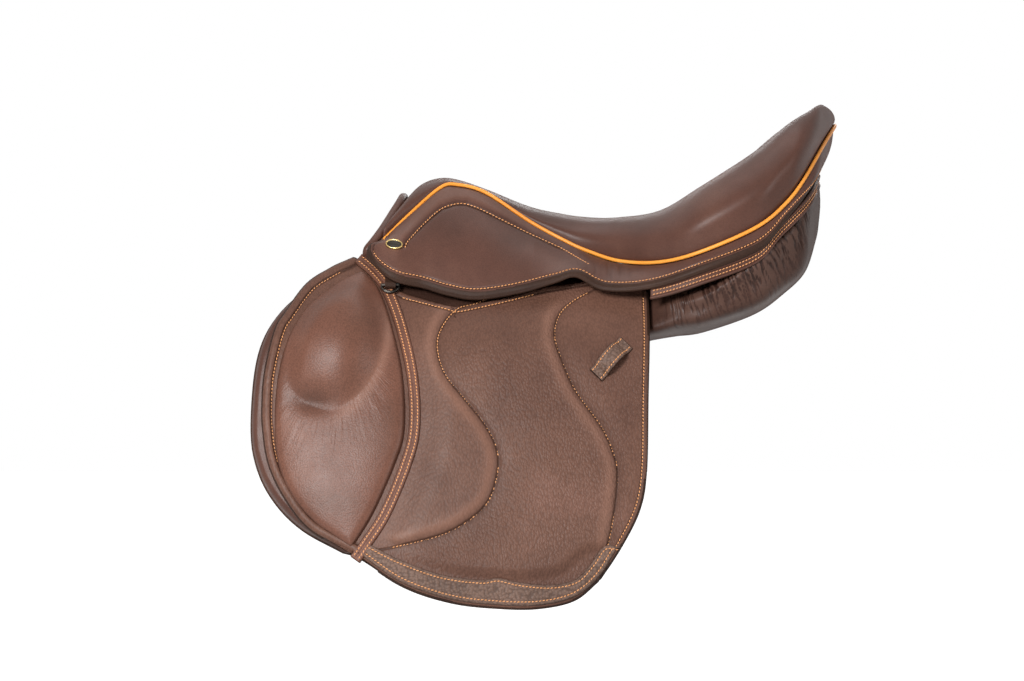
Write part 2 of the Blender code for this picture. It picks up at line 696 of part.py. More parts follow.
def make_flap(side, name):
    middle, _ = flap_hinge()
    pivot = add_pivot("flap_fold_" + name, middle * (1, side, 1))
    top = (fold_point(0, FOLD_GAP), fold_point(1, FOLD_GAP))
    front = (top[0],) + FLAP_FRONT_EDGE[1:]
    rear = (top[1],) + FLAP_REAR_EDGE[1:]
    flap = patch(top, FLAP_BOTTOM_EDGE, front, rear, 13, 12)
    side_sheet("flap_" + name, flap, side, 0.0, -FLAP_THICK, grained_leather, pivot)

    head_low = (fold_point(0, -FOLD_GAP), fold_point(1, -FOLD_GAP))
    head_front = (HEAD_TOP_EDGE[0], HEAD_FRONT_MIDDLE, head_low[0])
    head = patch(HEAD_TOP_EDGE, head_low, head_front, (HEAD_TOP_EDGE[-1], head_low[1]), 15, 4)
    side_sheet("flap_head_" + name, head, side, 0.0, -FLAP_THICK, grained_leather)

    half = BAND_WIDTH / 2 + LAYER_GAP + 0.001
    beside_band = ribbon(BAND_LINE, 2 * half, 12)[1:-1, 2]
    block_rear = [BLOCK_REAR_TOP] + [tuple(point) for point in beside_band] + [BLOCK_REAR_LOW]
    block_top = (BLOCK_FRONT_EDGE[0], BLOCK_REAR_TOP)
    block_low = (BLOCK_FRONT_EDGE[-1], BLOCK_REAR_LOW)
    block = patch(block_top, block_low, BLOCK_FRONT_EDGE, block_rear, 9, 13)
    side_sheet("knee_block_" + name, block, side, block_height, LAYER_GAP, smooth_leather, pivot)

    band = ribbon(BAND_LINE, BAND_WIDTH, 14)
    side_sheet("flap_band_" + name, band, side, LAYER_GAP + BAND_THICK, LAYER_GAP, smooth_leather, pivot)

    strip = patch(
        STRIP_TOP_EDGE, STRIP_BOTTOM_EDGE, (STRIP_TOP_EDGE[0], STRIP_BOTTOM_EDGE[0]),
        (STRIP_TOP_EDGE[-1], STRIP_BOTTOM_EDGE[-1]), 22, 3,
    )
    side_sheet("wear_strip_" + name, strip, side, LAYER_GAP + STRIP_THICK, LAYER_GAP, pebbled_leather, pivot)
    make_keeper(side, name, pivot)


def make_keeper(side, name, pivot):
    foot = KEEPER_LENGTH * 0.17
    span = KEEPER_LENGTH / 2 - foot
    arch = [(span * math.cos(a), KEEPER_RISE * math.sin(a)) for a in np.linspace(0, math.pi, 9)]
    low = [(KEEPER_LENGTH / 2, 0.0)] + arch + [(-KEEPER_LENGTH / 2, 0.0)]
    wide = 1 + KEEPER_THICK / span
    high = [(-KEEPER_LENGTH / 2, KEEPER_THICK)]
    high += [(a * wide, h + KEEPER_THICK) for a, h in reversed(arch)]
    high += [(KEEPER_LENGTH / 2, KEEPER_THICK)]
    ax, az = KEEPER_ALONG

    def place(a, h, c):
        x = KEEPER_PLACE[0] + ax * a + az * c
        z = KEEPER_PLACE[1] + az * a - ax * c
        return flap_point(x, z, h + LAYER_GAP) * (1, side, 1)

    half = KEEPER_WIDTH / 2
    block_cells("keeper_" + name, low + high, -half, half, place, pebbled_leather, pivot)


def make_sweat_flap(side, name):
    top = (SWEAT_FRONT_EDGE[0], (-0.12, 0.052), (-0.02, 0.046), SWEAT_REAR_EDGE[0])
    flap = patch(top, SWEAT_BOTTOM_EDGE, SWEAT_FRONT_EDGE, SWEAT_REAR_EDGE, 11, 10)
    deep = SWEAT_DEPTH + SWEAT_THICK
    side_sheet("sweat_flap_" + name, flap, side, -SWEAT_DEPTH, -deep, lining_leather)

    front = [(x + 0.002, z) for x, z in SWEAT_FRONT_EDGE[1:-1]]
    rear = [(x + 0.030, z - 0.004) for x, z in SWEAT_FRONT_EDGE[1:-1]]
    pad = patch((front[0], rear[0]), (front[-1], rear[-1]), front, rear, 5, 12)
    low = SWEAT_DEPTH - LAYER_GAP - SNUG / 2
    high = FLAP_THICK + LAYER_GAP + 0.001

    def bow(share, power):
        return math.sin(math.pi * min(max(share, 0.03), 0.97)) ** power

    def swell(u, v):
        return -low + SWEAT_PAD_EDGE + (low - high - SWEAT_PAD_EDGE) * bow(u, 0.5) * bow(v, 0.4)

    side_sheet("front_block_" + name, pad, side, swell, -low, lining_leather)


def strap_grid(x, top, bottom, width, rows):
    left = [(x - width / 2, z) for z in (top, (top + bottom) / 2, bottom + width * 0.4)]
    right = [(x + width / 2, z) for z in (top, (top + bottom) / 2, bottom + width * 0.4)]
    tip = (left[-1], (x, bottom), right[-1])
    return patch((left[0], right[0]), tip, left, right, 3, rows)


def make_girth_straps(side, name):
    rear_x = BILLET_FRONT_X + BILLET_SPACING
    for spot, x in (("front", BILLET_FRONT_X), ("rear", rear_x)):
        out = flap_point(x, BILLET_TOP - 0.006, -BILLET_DEPTH - BILLET_THICK / 2)
        pivot = add_pivot(f"billet_{spot}_hinge_{name}", out * (1, side, 1))
        grid = strap_grid(x, BILLET_TOP, BILLET_TOP - BILLET_LENGTH, BILLET_WIDTH, 11)
        deep = BILLET_DEPTH + BILLET_THICK
        side_sheet(f"billet_{spot}_{name}", grid, side, -BILLET_DEPTH, -deep, grained_leather, pivot)

    margin = BILLET_WIDTH / 2 + 0.005
    low_x, high_x = BILLET_FRONT_X - margin, rear_x + margin
    web_depth = BILLET_DEPTH + BILLET_THICK + 0.001
    web = patch(
        ((low_x, 0.056), (high_x, 0.050)), ((low_x, 0.012), (high_x, 0.012)),
        ((low_x, 0.056), (low_x, 0.012)), ((high_x, 0.050), (high_x, 0.012)), 5, 4,
    )
    side_sheet("girth_web_" + name, web, side, -web_depth, -web_depth - WEB_THICK, woven_web)
    guard = patch(
        ((low_x, 0.030), (high_x, 0.026)), ((low_x + 0.01, -0.068), (high_x - 0.01, -0.068)),
        ((low_x, 0.030), (low_x, -0.02), (low_x + 0.01, -0.068)),
        ((high_x, 0.026), (high_x, -0.02), (high_x - 0.01, -0.068)), 6, 6,
    )
    side_sheet("buckle_guard_" + name, guard, side, -GUARD_DEPTH, -GUARD_DEPTH - GUARD_THICK, lining_leather)


def join(target, others, how="UNION"):
    """Boolean modifiers on target; the other solids stay as hidden construction pieces."""
    for other in others:
        other.hide_render = True
        other.display_type = "WIRE"
        change = target.modifiers.new(how.lower(), "BOOLEAN")
        change.operation = how
        change.solver = "EXACT"
        change.object = other


def bar_frame(side):
    """Places (x, t, h): along the bar, up the slope and out from the tree's wing."""
    shares = np.linspace(0.3, 0.9, 61)
    points = [skirt_point(3.0, share, TREE_UNDER_SKIRT) for share in shares]
    start = min(points, key=lambda point: abs(point[2] - (BAR_Z - 0.012)))
    out = skirt_normal(3.0) * (0, 1, 1)
    out /= np.linalg.norm(out)
    up = np.array((0.0, -out[2], out[1]))
    base = np.array((BAR_X, start[1], start[2]))

    def place(x, t, h):
        return (base + np.array((x, 0, 0)) + up * t + out * h) * (1, side, 1)

    return place


def round_end(centre, radius, sides=10):
    """Half circle of points to the rear of centre, from below it to above it."""
    return [
        (centre + radius * math.cos(a), radius * math.sin(a))
        for a in np.linspace(-math.pi / 2, math.pi / 2, sides)
    ]


def circle(a, b, radius, sides):
    """Points round a centre in a flat profile."""
    turns = np.linspace(0, 2 * math.pi, sides + 1)[:-1]
    return [(a + radius * math.cos(t), b + radius * math.sin(t)) for t in turns]


def make_stirrup_bar(side, name):
    place = bar_frame(side)
    lift = 0.002
    half = BAR_HEIGHT / 2
    front = -BAR_LENGTH / 2
    pin_x = BAR_LENGTH / 2 - 0.006
    shoulder = pin_x - half - 0.001
    plate_top = lift + BAR_PLATE_THICK
    low = plate_top + BAR_SLOT
    high = low + BAR_THICK
    middle = (low + high) / 2

    def side_on(x, h, t):
        return place(x, t, h)

    def face_on(x, t, h):
        return place(x, t, h)

    loop = (
        (front + 0.008, lift), (BAR_LENGTH / 2 - 0.004, lift), (BAR_LENGTH / 2 - 0.004, plate_top),
        (front + 0.008, plate_top), (front + 0.004, plate_top + 0.002), (front + 0.0035, low - 0.002),
        (front + 0.006, low), (shoulder, low), (shoulder, high), (front + 0.004, high),
        (front - 0.002, high - 0.005), (front - 0.002, lift + 0.005), (front + 0.003, lift),
    )
    bar = block_cells("stirrup_bar_" + name, loop, -half, half, side_on, forged_steel)
    plate = block_cells(
        "bar_plate_" + name, ((front + 0.002, 0), (front + 0.002, BAR_PLATE_HEIGHT - half - 0.004),
        (front + 0.006, BAR_PLATE_HEIGHT - half), (BAR_LENGTH / 2 - 0.008, BAR_PLATE_HEIGHT - half),
        (BAR_LENGTH / 2 - 0.0045, BAR_PLATE_HEIGHT - half - 0.004), (BAR_LENGTH / 2 - 0.0045, 0)),
        lift + 0.0003, plate_top - 0.0003, face_on, forged_steel,
    )
    tongue = block_cells(
        "bar_tongue_" + name, [(shoulder - 0.004, half - 0.0003), (shoulder - 0.004, 0.0003 - half)]
        + round_end(pin_x, half - 0.0003), low + 0.0002, middle - 0.0002, face_on, forged_steel,
    )
    rivets = []
    for index, x in enumerate((front + 0.014, 0.0, BAR_LENGTH / 2 - 0.014)):
        ring = circle(x, half + RIVET_RISE, RIVET_RADIUS, 8)
        rivets.append(block_cells(
            f"bar_rivet_{index}_{name}", ring, lift + 0.001, plate_top + 0.0015, face_on, forged_steel))
    bore = circle(pin_x, 0.0, PIN_RADIUS + PIN_CLEARANCE, 12)
    hole = block_cells("bar_bore_" + name, bore, low - 0.002, high + 0.002, face_on, forged_steel)
    join(bar, [plate, tongue] + rivets)
    join(bar, [hole], "DIFFERENCE")

    pivot = add_pivot("catch_hinge_" + name, place(pin_x, 0, middle))
    tail = pin_x + half + 0.001
    end = tail + CATCH_LENGTH
    lap = [(tail + 0.003, 0.0003 - half), (tail + 0.003, half - 0.0003)]
    lap += [(2 * pin_x - x, -t) for x, t in round_end(pin_x, half - 0.0003)]
    catch = block_cells(
        "bar_catch_" + name, ((tail, low), (end - 0.004, low), (end, low + 0.002), (end, high), (tail, high)),
        -half, half, side_on, forged_steel, pivot,
    )
    lap_low, lap_high = middle + 0.0002, high - 0.0002
    lap_piece = block_cells("catch_lap_" + name, lap, lap_low, lap_high, face_on, forged_steel, pivot)
    join(catch, [lap_piece])
    join(catch, [hole], "DIFFERENCE")
    pin = circle(pin_x, 0.0, PIN_RADIUS, 12)
    block_cells("bar_pin_" + name, pin, low - 0.0008, high + 0.0008, face_on, forged_steel)


def make_dee(side, name):
    bar_lift = DEE_WIRE + CHAPE_THICK + 2 * LAYER_GAP
    start = flap_point(DEE_X, DEE_Z, bar_lift)
    out = flap_normal(DEE_X, DEE_Z)
    down = flap_point(DEE_X, DEE_Z - 0.01, bar_lift) - start
    down /= np.linalg.norm(down)

    def place(a, b, h):
        return (start + np.array((a, 0, 0)) + down * b + out * h) * (1, side, 1)

    pivot = add_pivot("dee_hinge_" + name, place(0, 0, 0))
    straight = [(a, 0.0) for a in np.linspace(-DEE_RADIUS, DEE_RADIUS, 4)]
    turns = np.linspace(0.25, math.pi - 0.25, 9)
    bend = [(DEE_RADIUS * math.cos(a), DEE_RADIUS * math.sin(a)) for a in turns]
    path = [place(a, b, 0.0) for a, b in straight + bend]
    wire = oval(DEE_WIRE, DEE_WIRE, 6)
    tube("dee_" + name, path, wire, forged_steel, closed=True, up=out * (1, side, 1), pivot=pivot)
    inner = DEE_WIRE + LAYER_GAP
    outer = inner + CHAPE_THICK
    leg = -0.007
    angles = np.linspace(-math.pi / 2, math.pi / 2, 7)
    outside = [(outer * math.cos(a), -outer * math.sin(a)) for a in angles]
    inside = [(inner * math.cos(a), -inner * math.sin(a)) for a in angles[::-1]]
    profile = [(leg, outer)] + outside + [(leg, -outer), (leg, -inner)] + inside + [(leg, inner)]

    def across(b, h, a):
        return place(a, b, h)

    block_cells("dee_chape_" + name, profile, -CHAPE_WIDTH / 2, CHAPE_WIDTH / 2, across, lining_leather)


def make_nail(side, name):
    centre = skirt_point(NAIL_STATION, NAIL_SHARE)
    along_x = skirt_point(NAIL_STATION + 0.1, NAIL_SHARE) - skirt_point(NAIL_STATION - 0.1, NAIL_SHARE)
    down = skirt_point(NAIL_STATION, NAIL_SHARE + 0.1) - skirt_point(NAIL_STATION, NAIL_SHARE - 0.1)
    out = np.cross(along_x, down)
    out /= np.linalg.norm(out)
    level = np.array((1.0, 0.0, -NAIL_TILT))
    long_way = level - out * np.dot(level, out)
    long_way /= np.linalg.norm(long_way)
    short_way = np.cross(out, long_way)
    rings = ((1.0, 0.0009), (1.0, 0.0022), (0.86, 0.0030), (0.76, 0.0021), (0.45, 0.0031))
    sides = 16
    made = bmesh.new()
    made_rings = []
    for share, height in rings:
        ring = []
        for k in range(sides):
            a = 2 * math.pi * k / sides
            flat = long_way * (NAIL_LENGTH / 2 * share * math.cos(a))
            flat = flat + short_way * (NAIL_HEIGHT / 2 * share * math.sin(a))
            ring.append(made.verts.new((centre + flat + out * height) * (1, side, 1)))
        made_rings.append(ring)
    made.faces.new(made_rings[0])
    made.faces.new(made_rings[-1])
    for low, high in zip(made_rings, made_rings[1:]):
        for k in range(sides):
            m = (k + 1) % sides
            made.faces.new((low[k], low[m], high[m], high[k]))
    add_object("nail_" + name, made, solid_brass)


# Panel sections from the front: fraction of SEAT_RUN, then (y, z) of the inner top, outer top,
# outer bottom and inner bottom corners.
PANEL_SECTIONS = (
    (-0.048, (0.048, 0.070), (0.060, 0.060), (0.102, -0.010), (0.080, -0.028)),
    (0.043, (0.042, 0.068), (0.055, 0.056), (0.098, -0.014), (0.066, -0.026)),
    (0.158, (0.036, 0.072), (0.058, 0.056), (0.103, -0.010), (0.050, -0.018)),
    (0.295, (0.035, 0.074), (0.064, 0.058), (0.104, -0.004), (0.041, -0.008)),
    (0.432, (0.035, 0.072), (0.068, 0.050), (0.103, 0.000), (0.038, -0.003)),
    (0.524, (0.035, 0.072), (0.074, 0.044), (0.106, 0.003), (0.037, 0.000)),
    (0.590, (0.035, 0.074), (0.098, 0.042), (0.118, 0.006), (0.036, 0.002)),
    (0.640, (0.035, 0.077), (0.122, 0.042), (0.124, 0.010), (0.036, 0.004)),
    (0.700, (0.034, 0.082), (0.136, 0.048), (0.130, 0.016), (0.035, 0.010)),
    (0.810, (0.032, 0.102), (0.136, 0.080), (0.126, 0.040), (0.033, 0.034)),
    (0.872, (0.028, 0.126), (0.116, 0.104), (0.108, 0.064), (0.030, 0.060)),
    (0.918, (0.022, 0.144), (0.096, 0.124), (0.090, 0.090), (0.026, 0.088)),
    (0.945, (0.020, 0.143), (0.060, 0.137), (0.056, 0.112), (0.024, 0.112)),
    (0.953, (0.024, 0.140), (0.046, 0.136), (0.044, 0.122), (0.026, 0.122)),
)


def panel_ring(place, sides=14):
    """Rounded section of a panel, with its crown underneath and a full outer side."""
    flat = [(row[0],) + tuple(value for corner in row[1:] for value in corner) for row in PANEL_SECTIONS]
    row = along(flat, place)
    corners = np.array(row[1:]).reshape(4, 2)
    full = ease(place / 1.5) * ease((len(PANEL_SECTIONS) - 1 - place) / 1.5)
    swells = (0.0, 0.004, PANEL_CROWN, -0.001)
    control = []
    centre = corners.mean(axis=0)
    for k in range(4):
        a, b = corners[k], corners[(k + 1) % 4]
        across = np.array((b[1] - a[1], a[0] - b[0]))
        across /= max(np.linalg.norm(across), 1e-9)
        if np.dot(across, (a + b) / 2 - centre) < 0:
            across = -across
        control += [a, (a + b) / 2 + across * swells[k] * full]
    wrapped = control[-2:] + control + control[:3]
    spots = [along(wrapped, 2 + 8 * k / sides) for k in range(sides)]
    return [np.array((seat_x(row[0]), y, z)) for y, z in spots]


def make_panel(side, name):
    places = np.linspace(0, len(PANEL_SECTIONS) - 1, 24)
    made = bmesh.new()
    rings = [[made.verts.new(point * (1, side, 1)) for point in panel_ring(place)] for place in places]
    made.faces.new(rings[0])
    made.faces.new(rings[-1])
    for this, following in zip(rings, rings[1:]):
        for k in range(len(this)):
            m = (k + 1) % len(this)
            made.faces.new((this[k], this[m], following[m], following[k]))
    add_object("panel_" + name, made, smooth_leather)


def make_panel_bridge():
    rows = []
    for row in PANEL_SECTIONS[1:-2]:
        y, z = row[1]
        rows.append((seat_x(row[0]), y - 0.003, z - 0.006))
    columns = np.linspace(-1, 1, 5)
    top = np.array([[(x, y * c, z + 0.004 * (1 - c * c)) for c in columns] for x, y, z in rows])
    sheet("panel_bridge", top, top - np.array((0, 0, BRIDGE_THICK)), lining_leather)


def make_gusset_strip():
    half = np.linspace(GUSSET_START, LAST_STATION, 14)

    def spot(u, across, depth):
        edge = seat_lines(u)[3]
        ahead = seat_lines(min(u + 0.1, LAST_STATION))[3] - seat_lines(u - 0.1)[3]
        out = np.array((-ahead[1], ahead[0], 0.0))
        out = out / np.linalg.norm(out)
        if u > LAST_STATION - 0.05:
            out = np.array((1.0, 0.0, 0.0))
        down = np.array((0.0, 0.0, -1.0))
        return edge - out * (GUSSET_INSET + depth) + down * (0.002 + GUSSET_STRIP * across)

    def both(depth):
        near = np.array([[spot(u, c, depth) * (1, -1, 1) for c in (0.0, 0.5, 1.0)] for u in half])
        off = np.array([[spot(u, c, depth) for c in (0.0, 0.5, 1.0)] for u in half[-2::-1]])
        return np.concatenate((near, off))

    sheet("gusset_strip", both(0.0), both(GUSSET_STRIP_THICK), smooth_leather)


make_tree()
make_head_steel()
make_springs()
make_webbing()
make_seat_foam()
make_seat_cover()
make_welt()
make_skirts()
make_cantle_back()
make_front_facing()
make_panel_bridge()
make_gusset_strip()
for side, name in ((-1, "near"), (1, "off")):
    make_flap(side, name)
    make_sweat_flap(side, name)
    make_girth_straps(side, name)
    make_stirrup_bar(side, name)
    make_dee(side, name)
    make_nail(side, name)
    make_panel(side, name)
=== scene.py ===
# Looks of the jumping saddle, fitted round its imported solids: leathers, welt, stitching, metal, camera and light.

import math

import bpy
import numpy as np
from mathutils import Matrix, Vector, noise


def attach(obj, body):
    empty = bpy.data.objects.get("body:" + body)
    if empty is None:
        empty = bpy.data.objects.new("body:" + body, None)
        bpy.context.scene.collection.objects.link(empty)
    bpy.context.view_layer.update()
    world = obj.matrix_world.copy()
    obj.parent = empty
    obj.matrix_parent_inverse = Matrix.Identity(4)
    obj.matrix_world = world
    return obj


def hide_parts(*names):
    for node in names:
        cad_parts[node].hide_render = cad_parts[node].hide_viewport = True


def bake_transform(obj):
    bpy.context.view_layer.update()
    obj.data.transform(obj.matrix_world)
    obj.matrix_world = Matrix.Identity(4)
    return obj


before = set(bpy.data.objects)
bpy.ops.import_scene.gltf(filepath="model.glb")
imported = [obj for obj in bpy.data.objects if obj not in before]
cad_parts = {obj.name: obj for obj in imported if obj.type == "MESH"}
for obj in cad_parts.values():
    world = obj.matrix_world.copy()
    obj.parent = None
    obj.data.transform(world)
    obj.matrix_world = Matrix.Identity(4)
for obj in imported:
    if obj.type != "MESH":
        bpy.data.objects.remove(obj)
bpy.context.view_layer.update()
sides = {"near": -1, "off": 1}
seatRun = 0.437
seatFront = -0.149


def linear(code):  # sRGB hex to the linear colour that shaders take
    parts = [int(code[i:i + 2], 16) / 255 for i in (1, 3, 5)]
    return tuple(v / 12.92 if v < 0.04045 else ((v + 0.055) / 1.055) ** 2.4 for v in parts) + (1.0,)


def along(points, place):  # point on the smooth curve through points, whole numbers being the points
    table = np.asarray(points, float)
    last = len(table) - 1
    first = int(min(max(math.floor(place), 0), last - 1))
    f = place - first
    a = table[first - 1] if first else 2 * table[0] - table[1]
    b, c = table[first], table[first + 1]
    d = table[first + 2] if first + 2 <= last else 2 * table[last] - table[last - 1]
    return 0.5 * (2 * b + (c - a) * f + (2 * a - 5 * b + 4 * c - d) * f**2 + (3 * b - a - 3 * c + d) * f**3)


def evenCurve(points, count):
    fine = np.array([along(points, p) for p in np.linspace(0, len(points) - 1, 20 * len(points))])
    steps = np.linalg.norm(np.diff(fine, axis=0), axis=1)
    length = np.concatenate(([0.0], np.cumsum(steps)))
    wanted = np.linspace(0, length[-1], count)
    return np.stack([np.interp(wanted, length, fine[:, k]) for k in range(fine.shape[1])], axis=1)


def ease(value):
    value = np.clip(value, 0.0, 1.0)
    return value * value * (3 - 2 * value)


def unit(v):
    return v / np.maximum(np.linalg.norm(v, axis=-1, keepdims=True), 1e-12)


def gridNormals(grid):  # normals of a grid of points, by its rows and columns
    return unit(np.cross(np.gradient(grid, axis=0), np.gradient(grid, axis=1)))


def sideOf(px, py, line):  # signed distance in metres to a line of (x, z) points; positive to the right going down
    line = np.asarray(line, float)
    best = np.full(px.shape, 1e9)
    sign = np.ones(px.shape)
    for a, b in zip(line[:-1], line[1:]):
        ab = b - a
        t = np.clip(((px - a[0]) * ab[0] + (py - a[1]) * ab[1]) / np.dot(ab, ab), 0, 1)
        dx, dy = px - a[0] - t * ab[0], py - a[1] - t * ab[1]
        d = np.hypot(dx, dy)
        nearer = d < best
        sign = np.where(nearer, np.where(ab[0] * dy - ab[1] * dx > 0, 1.0, -1.0), sign)
        best = np.minimum(best, d)
    return best * sign


stations = (
    # centre x, centre z, crest z, welt x, welt y, welt z, skirt edge x, skirt edge y, skirt edge z
    (0.055, 0.143, 0.125, 0.000, 0.075, 0.0965, -0.0305, 0.099, 0.0735),
    (0.085, 0.154, 0.148, 0.055, 0.062, 0.121, 0.016, 0.1145, 0.0585),
    (0.119, 0.159, 0.157, 0.121, 0.050, 0.147, 0.0847, 0.115, 0.0525),
    (0.162, 0.157, 0.1555, 0.158, 0.047, 0.150, 0.1396, 0.119, 0.0455),
    (0.227, 0.147, 0.1465, 0.222, 0.048, 0.142, 0.2037, 0.122, 0.0415),
    (0.318, 0.131, 0.1295, 0.318, 0.055, 0.114, 0.295, 0.124, 0.048),
    (0.398, 0.1235, 0.1205, 0.391, 0.063, 0.096, 0.368, 0.124, 0.058),
    (0.455, 0.1205, 0.117, 0.444, 0.071, 0.085, 0.419, 0.123, 0.0645),
    (0.522, 0.119, 0.118, 0.515, 0.088, 0.075, 0.478, 0.125, 0.0515),
    (0.611, 0.119, 0.125, 0.600, 0.113, 0.0735, 0.570, 0.134, 0.0525),
    (0.700, 0.131, 0.1475, 0.684, 0.135, 0.0825, 0.682, 0.148, 0.066),
    (0.810, 0.157, 0.180, 0.805, 0.138, 0.106, 0.810, 0.146, 0.087),
    (0.890, 0.188, 0.206, 0.870, 0.125, 0.129, 0.870, 0.131, 0.113),
    (0.941, 0.208, 0.219, 0.911, 0.107, 0.152, 0.913, 0.112, 0.133),
    (0.977, 0.221, 0.228, 0.959, 0.066, 0.186, 0.941, 0.080, 0.151),
    (1.000, 0.211, 0.211, 1.000, 0.000, 0.211, 0.963, 0.000, 0.165),
)
lastStation = len(stations) - 1.0
beyond = np.array(stations[-2]) * (1, 1, 1, 1, -1, 1, 1, -1, 1)  # the station before the last, seen across the centre
stationTable = np.concatenate((stations, beyond[None]))


def seatLines(u):  # centre, crest height, welt and skirt edge of the seat at a station
    row = along(stationTable, min(u, lastStation))
    centre = np.array((seatFront + row[0] * seatRun, 0.0, row[1]))
    welt = np.array((seatFront + row[3] * seatRun, row[4], row[5]))
    edge = np.array((seatFront + row[6] * seatRun, row[7], row[8]))
    return centre, row[2], welt, edge


def seatPoint(u, w):  # top of the seat, w from 0 at the centre to 1 at the welt
    centre, crest, welt, _ = seatLines(u)
    fat = 0.006 * ease((u - 7) / 2) * ease((lastStation - u) / 2)
    crestPoint = np.array(((centre[0] + welt[0]) / 2, 0.62 * welt[1], crest))
    shoulder = np.array((0.1 * centre[0] + 0.9 * welt[0], welt[1] * 0.985 + fat, 0.5 * welt[2] + 0.5 * crest))
    return along((crestPoint * (1, -1, 1), centre, crestPoint, shoulder, welt), 1 + 3 * w)


def skirtMiddle(u):
    if u > lastStation:
        return skirtMiddle(2 * lastStation - u) * (1, -1, 1)
    _, _, welt, edge = seatLines(u)
    return (welt + edge) / 2


def skirtNormal(u):
    _, _, welt, edge = seatLines(u)
    return unit(np.cross(skirtMiddle(u + 0.15) - skirtMiddle(u - 0.15), edge - welt))


flapHeights = np.array((-0.29, -0.245, -0.2, -0.12, -0.06, 0.0, 0.03, 0.046, 0.06, 0.072, 0.084, 0.1))
flapOuts = np.array((0.2245, 0.2185, 0.208, 0.186, 0.166, 0.139, 0.119, 0.107, 0.096, 0.086, 0.076, 0.062))
foldFront = (-0.2225, 0.0536)
foldRear = (0.1018, 0.0052)


def flapOut(x, z):  # how far the flap's outer face stands from the centre plane
    slopes = np.gradient(flapOuts, flapHeights)
    k = np.clip(np.searchsorted(flapHeights, z) - 1, 0, len(flapHeights) - 2)
    width = flapHeights[k + 1] - flapHeights[k]
    f = (z - flapHeights[k]) / width
    y = (2 * f**3 - 3 * f**2 + 1) * flapOuts[k] + (f**3 - 2 * f**2 + f) * width * slopes[k]
    y = y + (3 * f**2 - 2 * f**3) * flapOuts[k + 1] + (f**3 - f**2) * width * slopes[k + 1]
    return y - (x + 0.06) ** 2 / 2.4 * ease((0.03 - z) / 0.15)


def flapSurface(flat, lift):  # (x, z) points and heights above the flap's face, to 3-D points
    x, z = flat[..., 0], flat[..., 1]
    step = 0.002
    slopeX = (flapOut(x + step, z) - flapOut(x - step, z)) / (2 * step)
    slopeZ = (flapOut(x, z + step) - flapOut(x, z - step)) / (2 * step)
    out = unit(np.stack((-slopeX, np.ones_like(x), -slopeZ), axis=-1))
    return np.stack((x, flapOut(x, z), z), axis=-1) + out * np.asarray(lift)[..., None], out


def ribbon(centre, width, count, columns):  # grid of (x, z) points along a line
    line = evenCurve(centre, count)
    ahead = np.gradient(line, axis=0)
    across = unit(np.stack((-ahead[:, 1], ahead[:, 0]), axis=1))
    return np.stack([line + across * k for k in np.linspace(width / 2, -width / 2, columns)], axis=1)


def nodeOf(tree, kind, **values):  # new shader node with some sockets set by name
    made = tree.nodes.new(kind)
    for key, value in values.items():
        if key in made.inputs:
            made.inputs[key].default_value = value
        else:
            setattr(made, key, value)
    return made


def ramp(tree, stops):
    made = tree.nodes.new("ShaderNodeValToRGB")
    points = made.color_ramp.elements
    while len(points) < len(stops):
        points.new(0.5)
    for point, (place, colour) in zip(points, stops):
        point.position = place
        point.color = colour
    return made


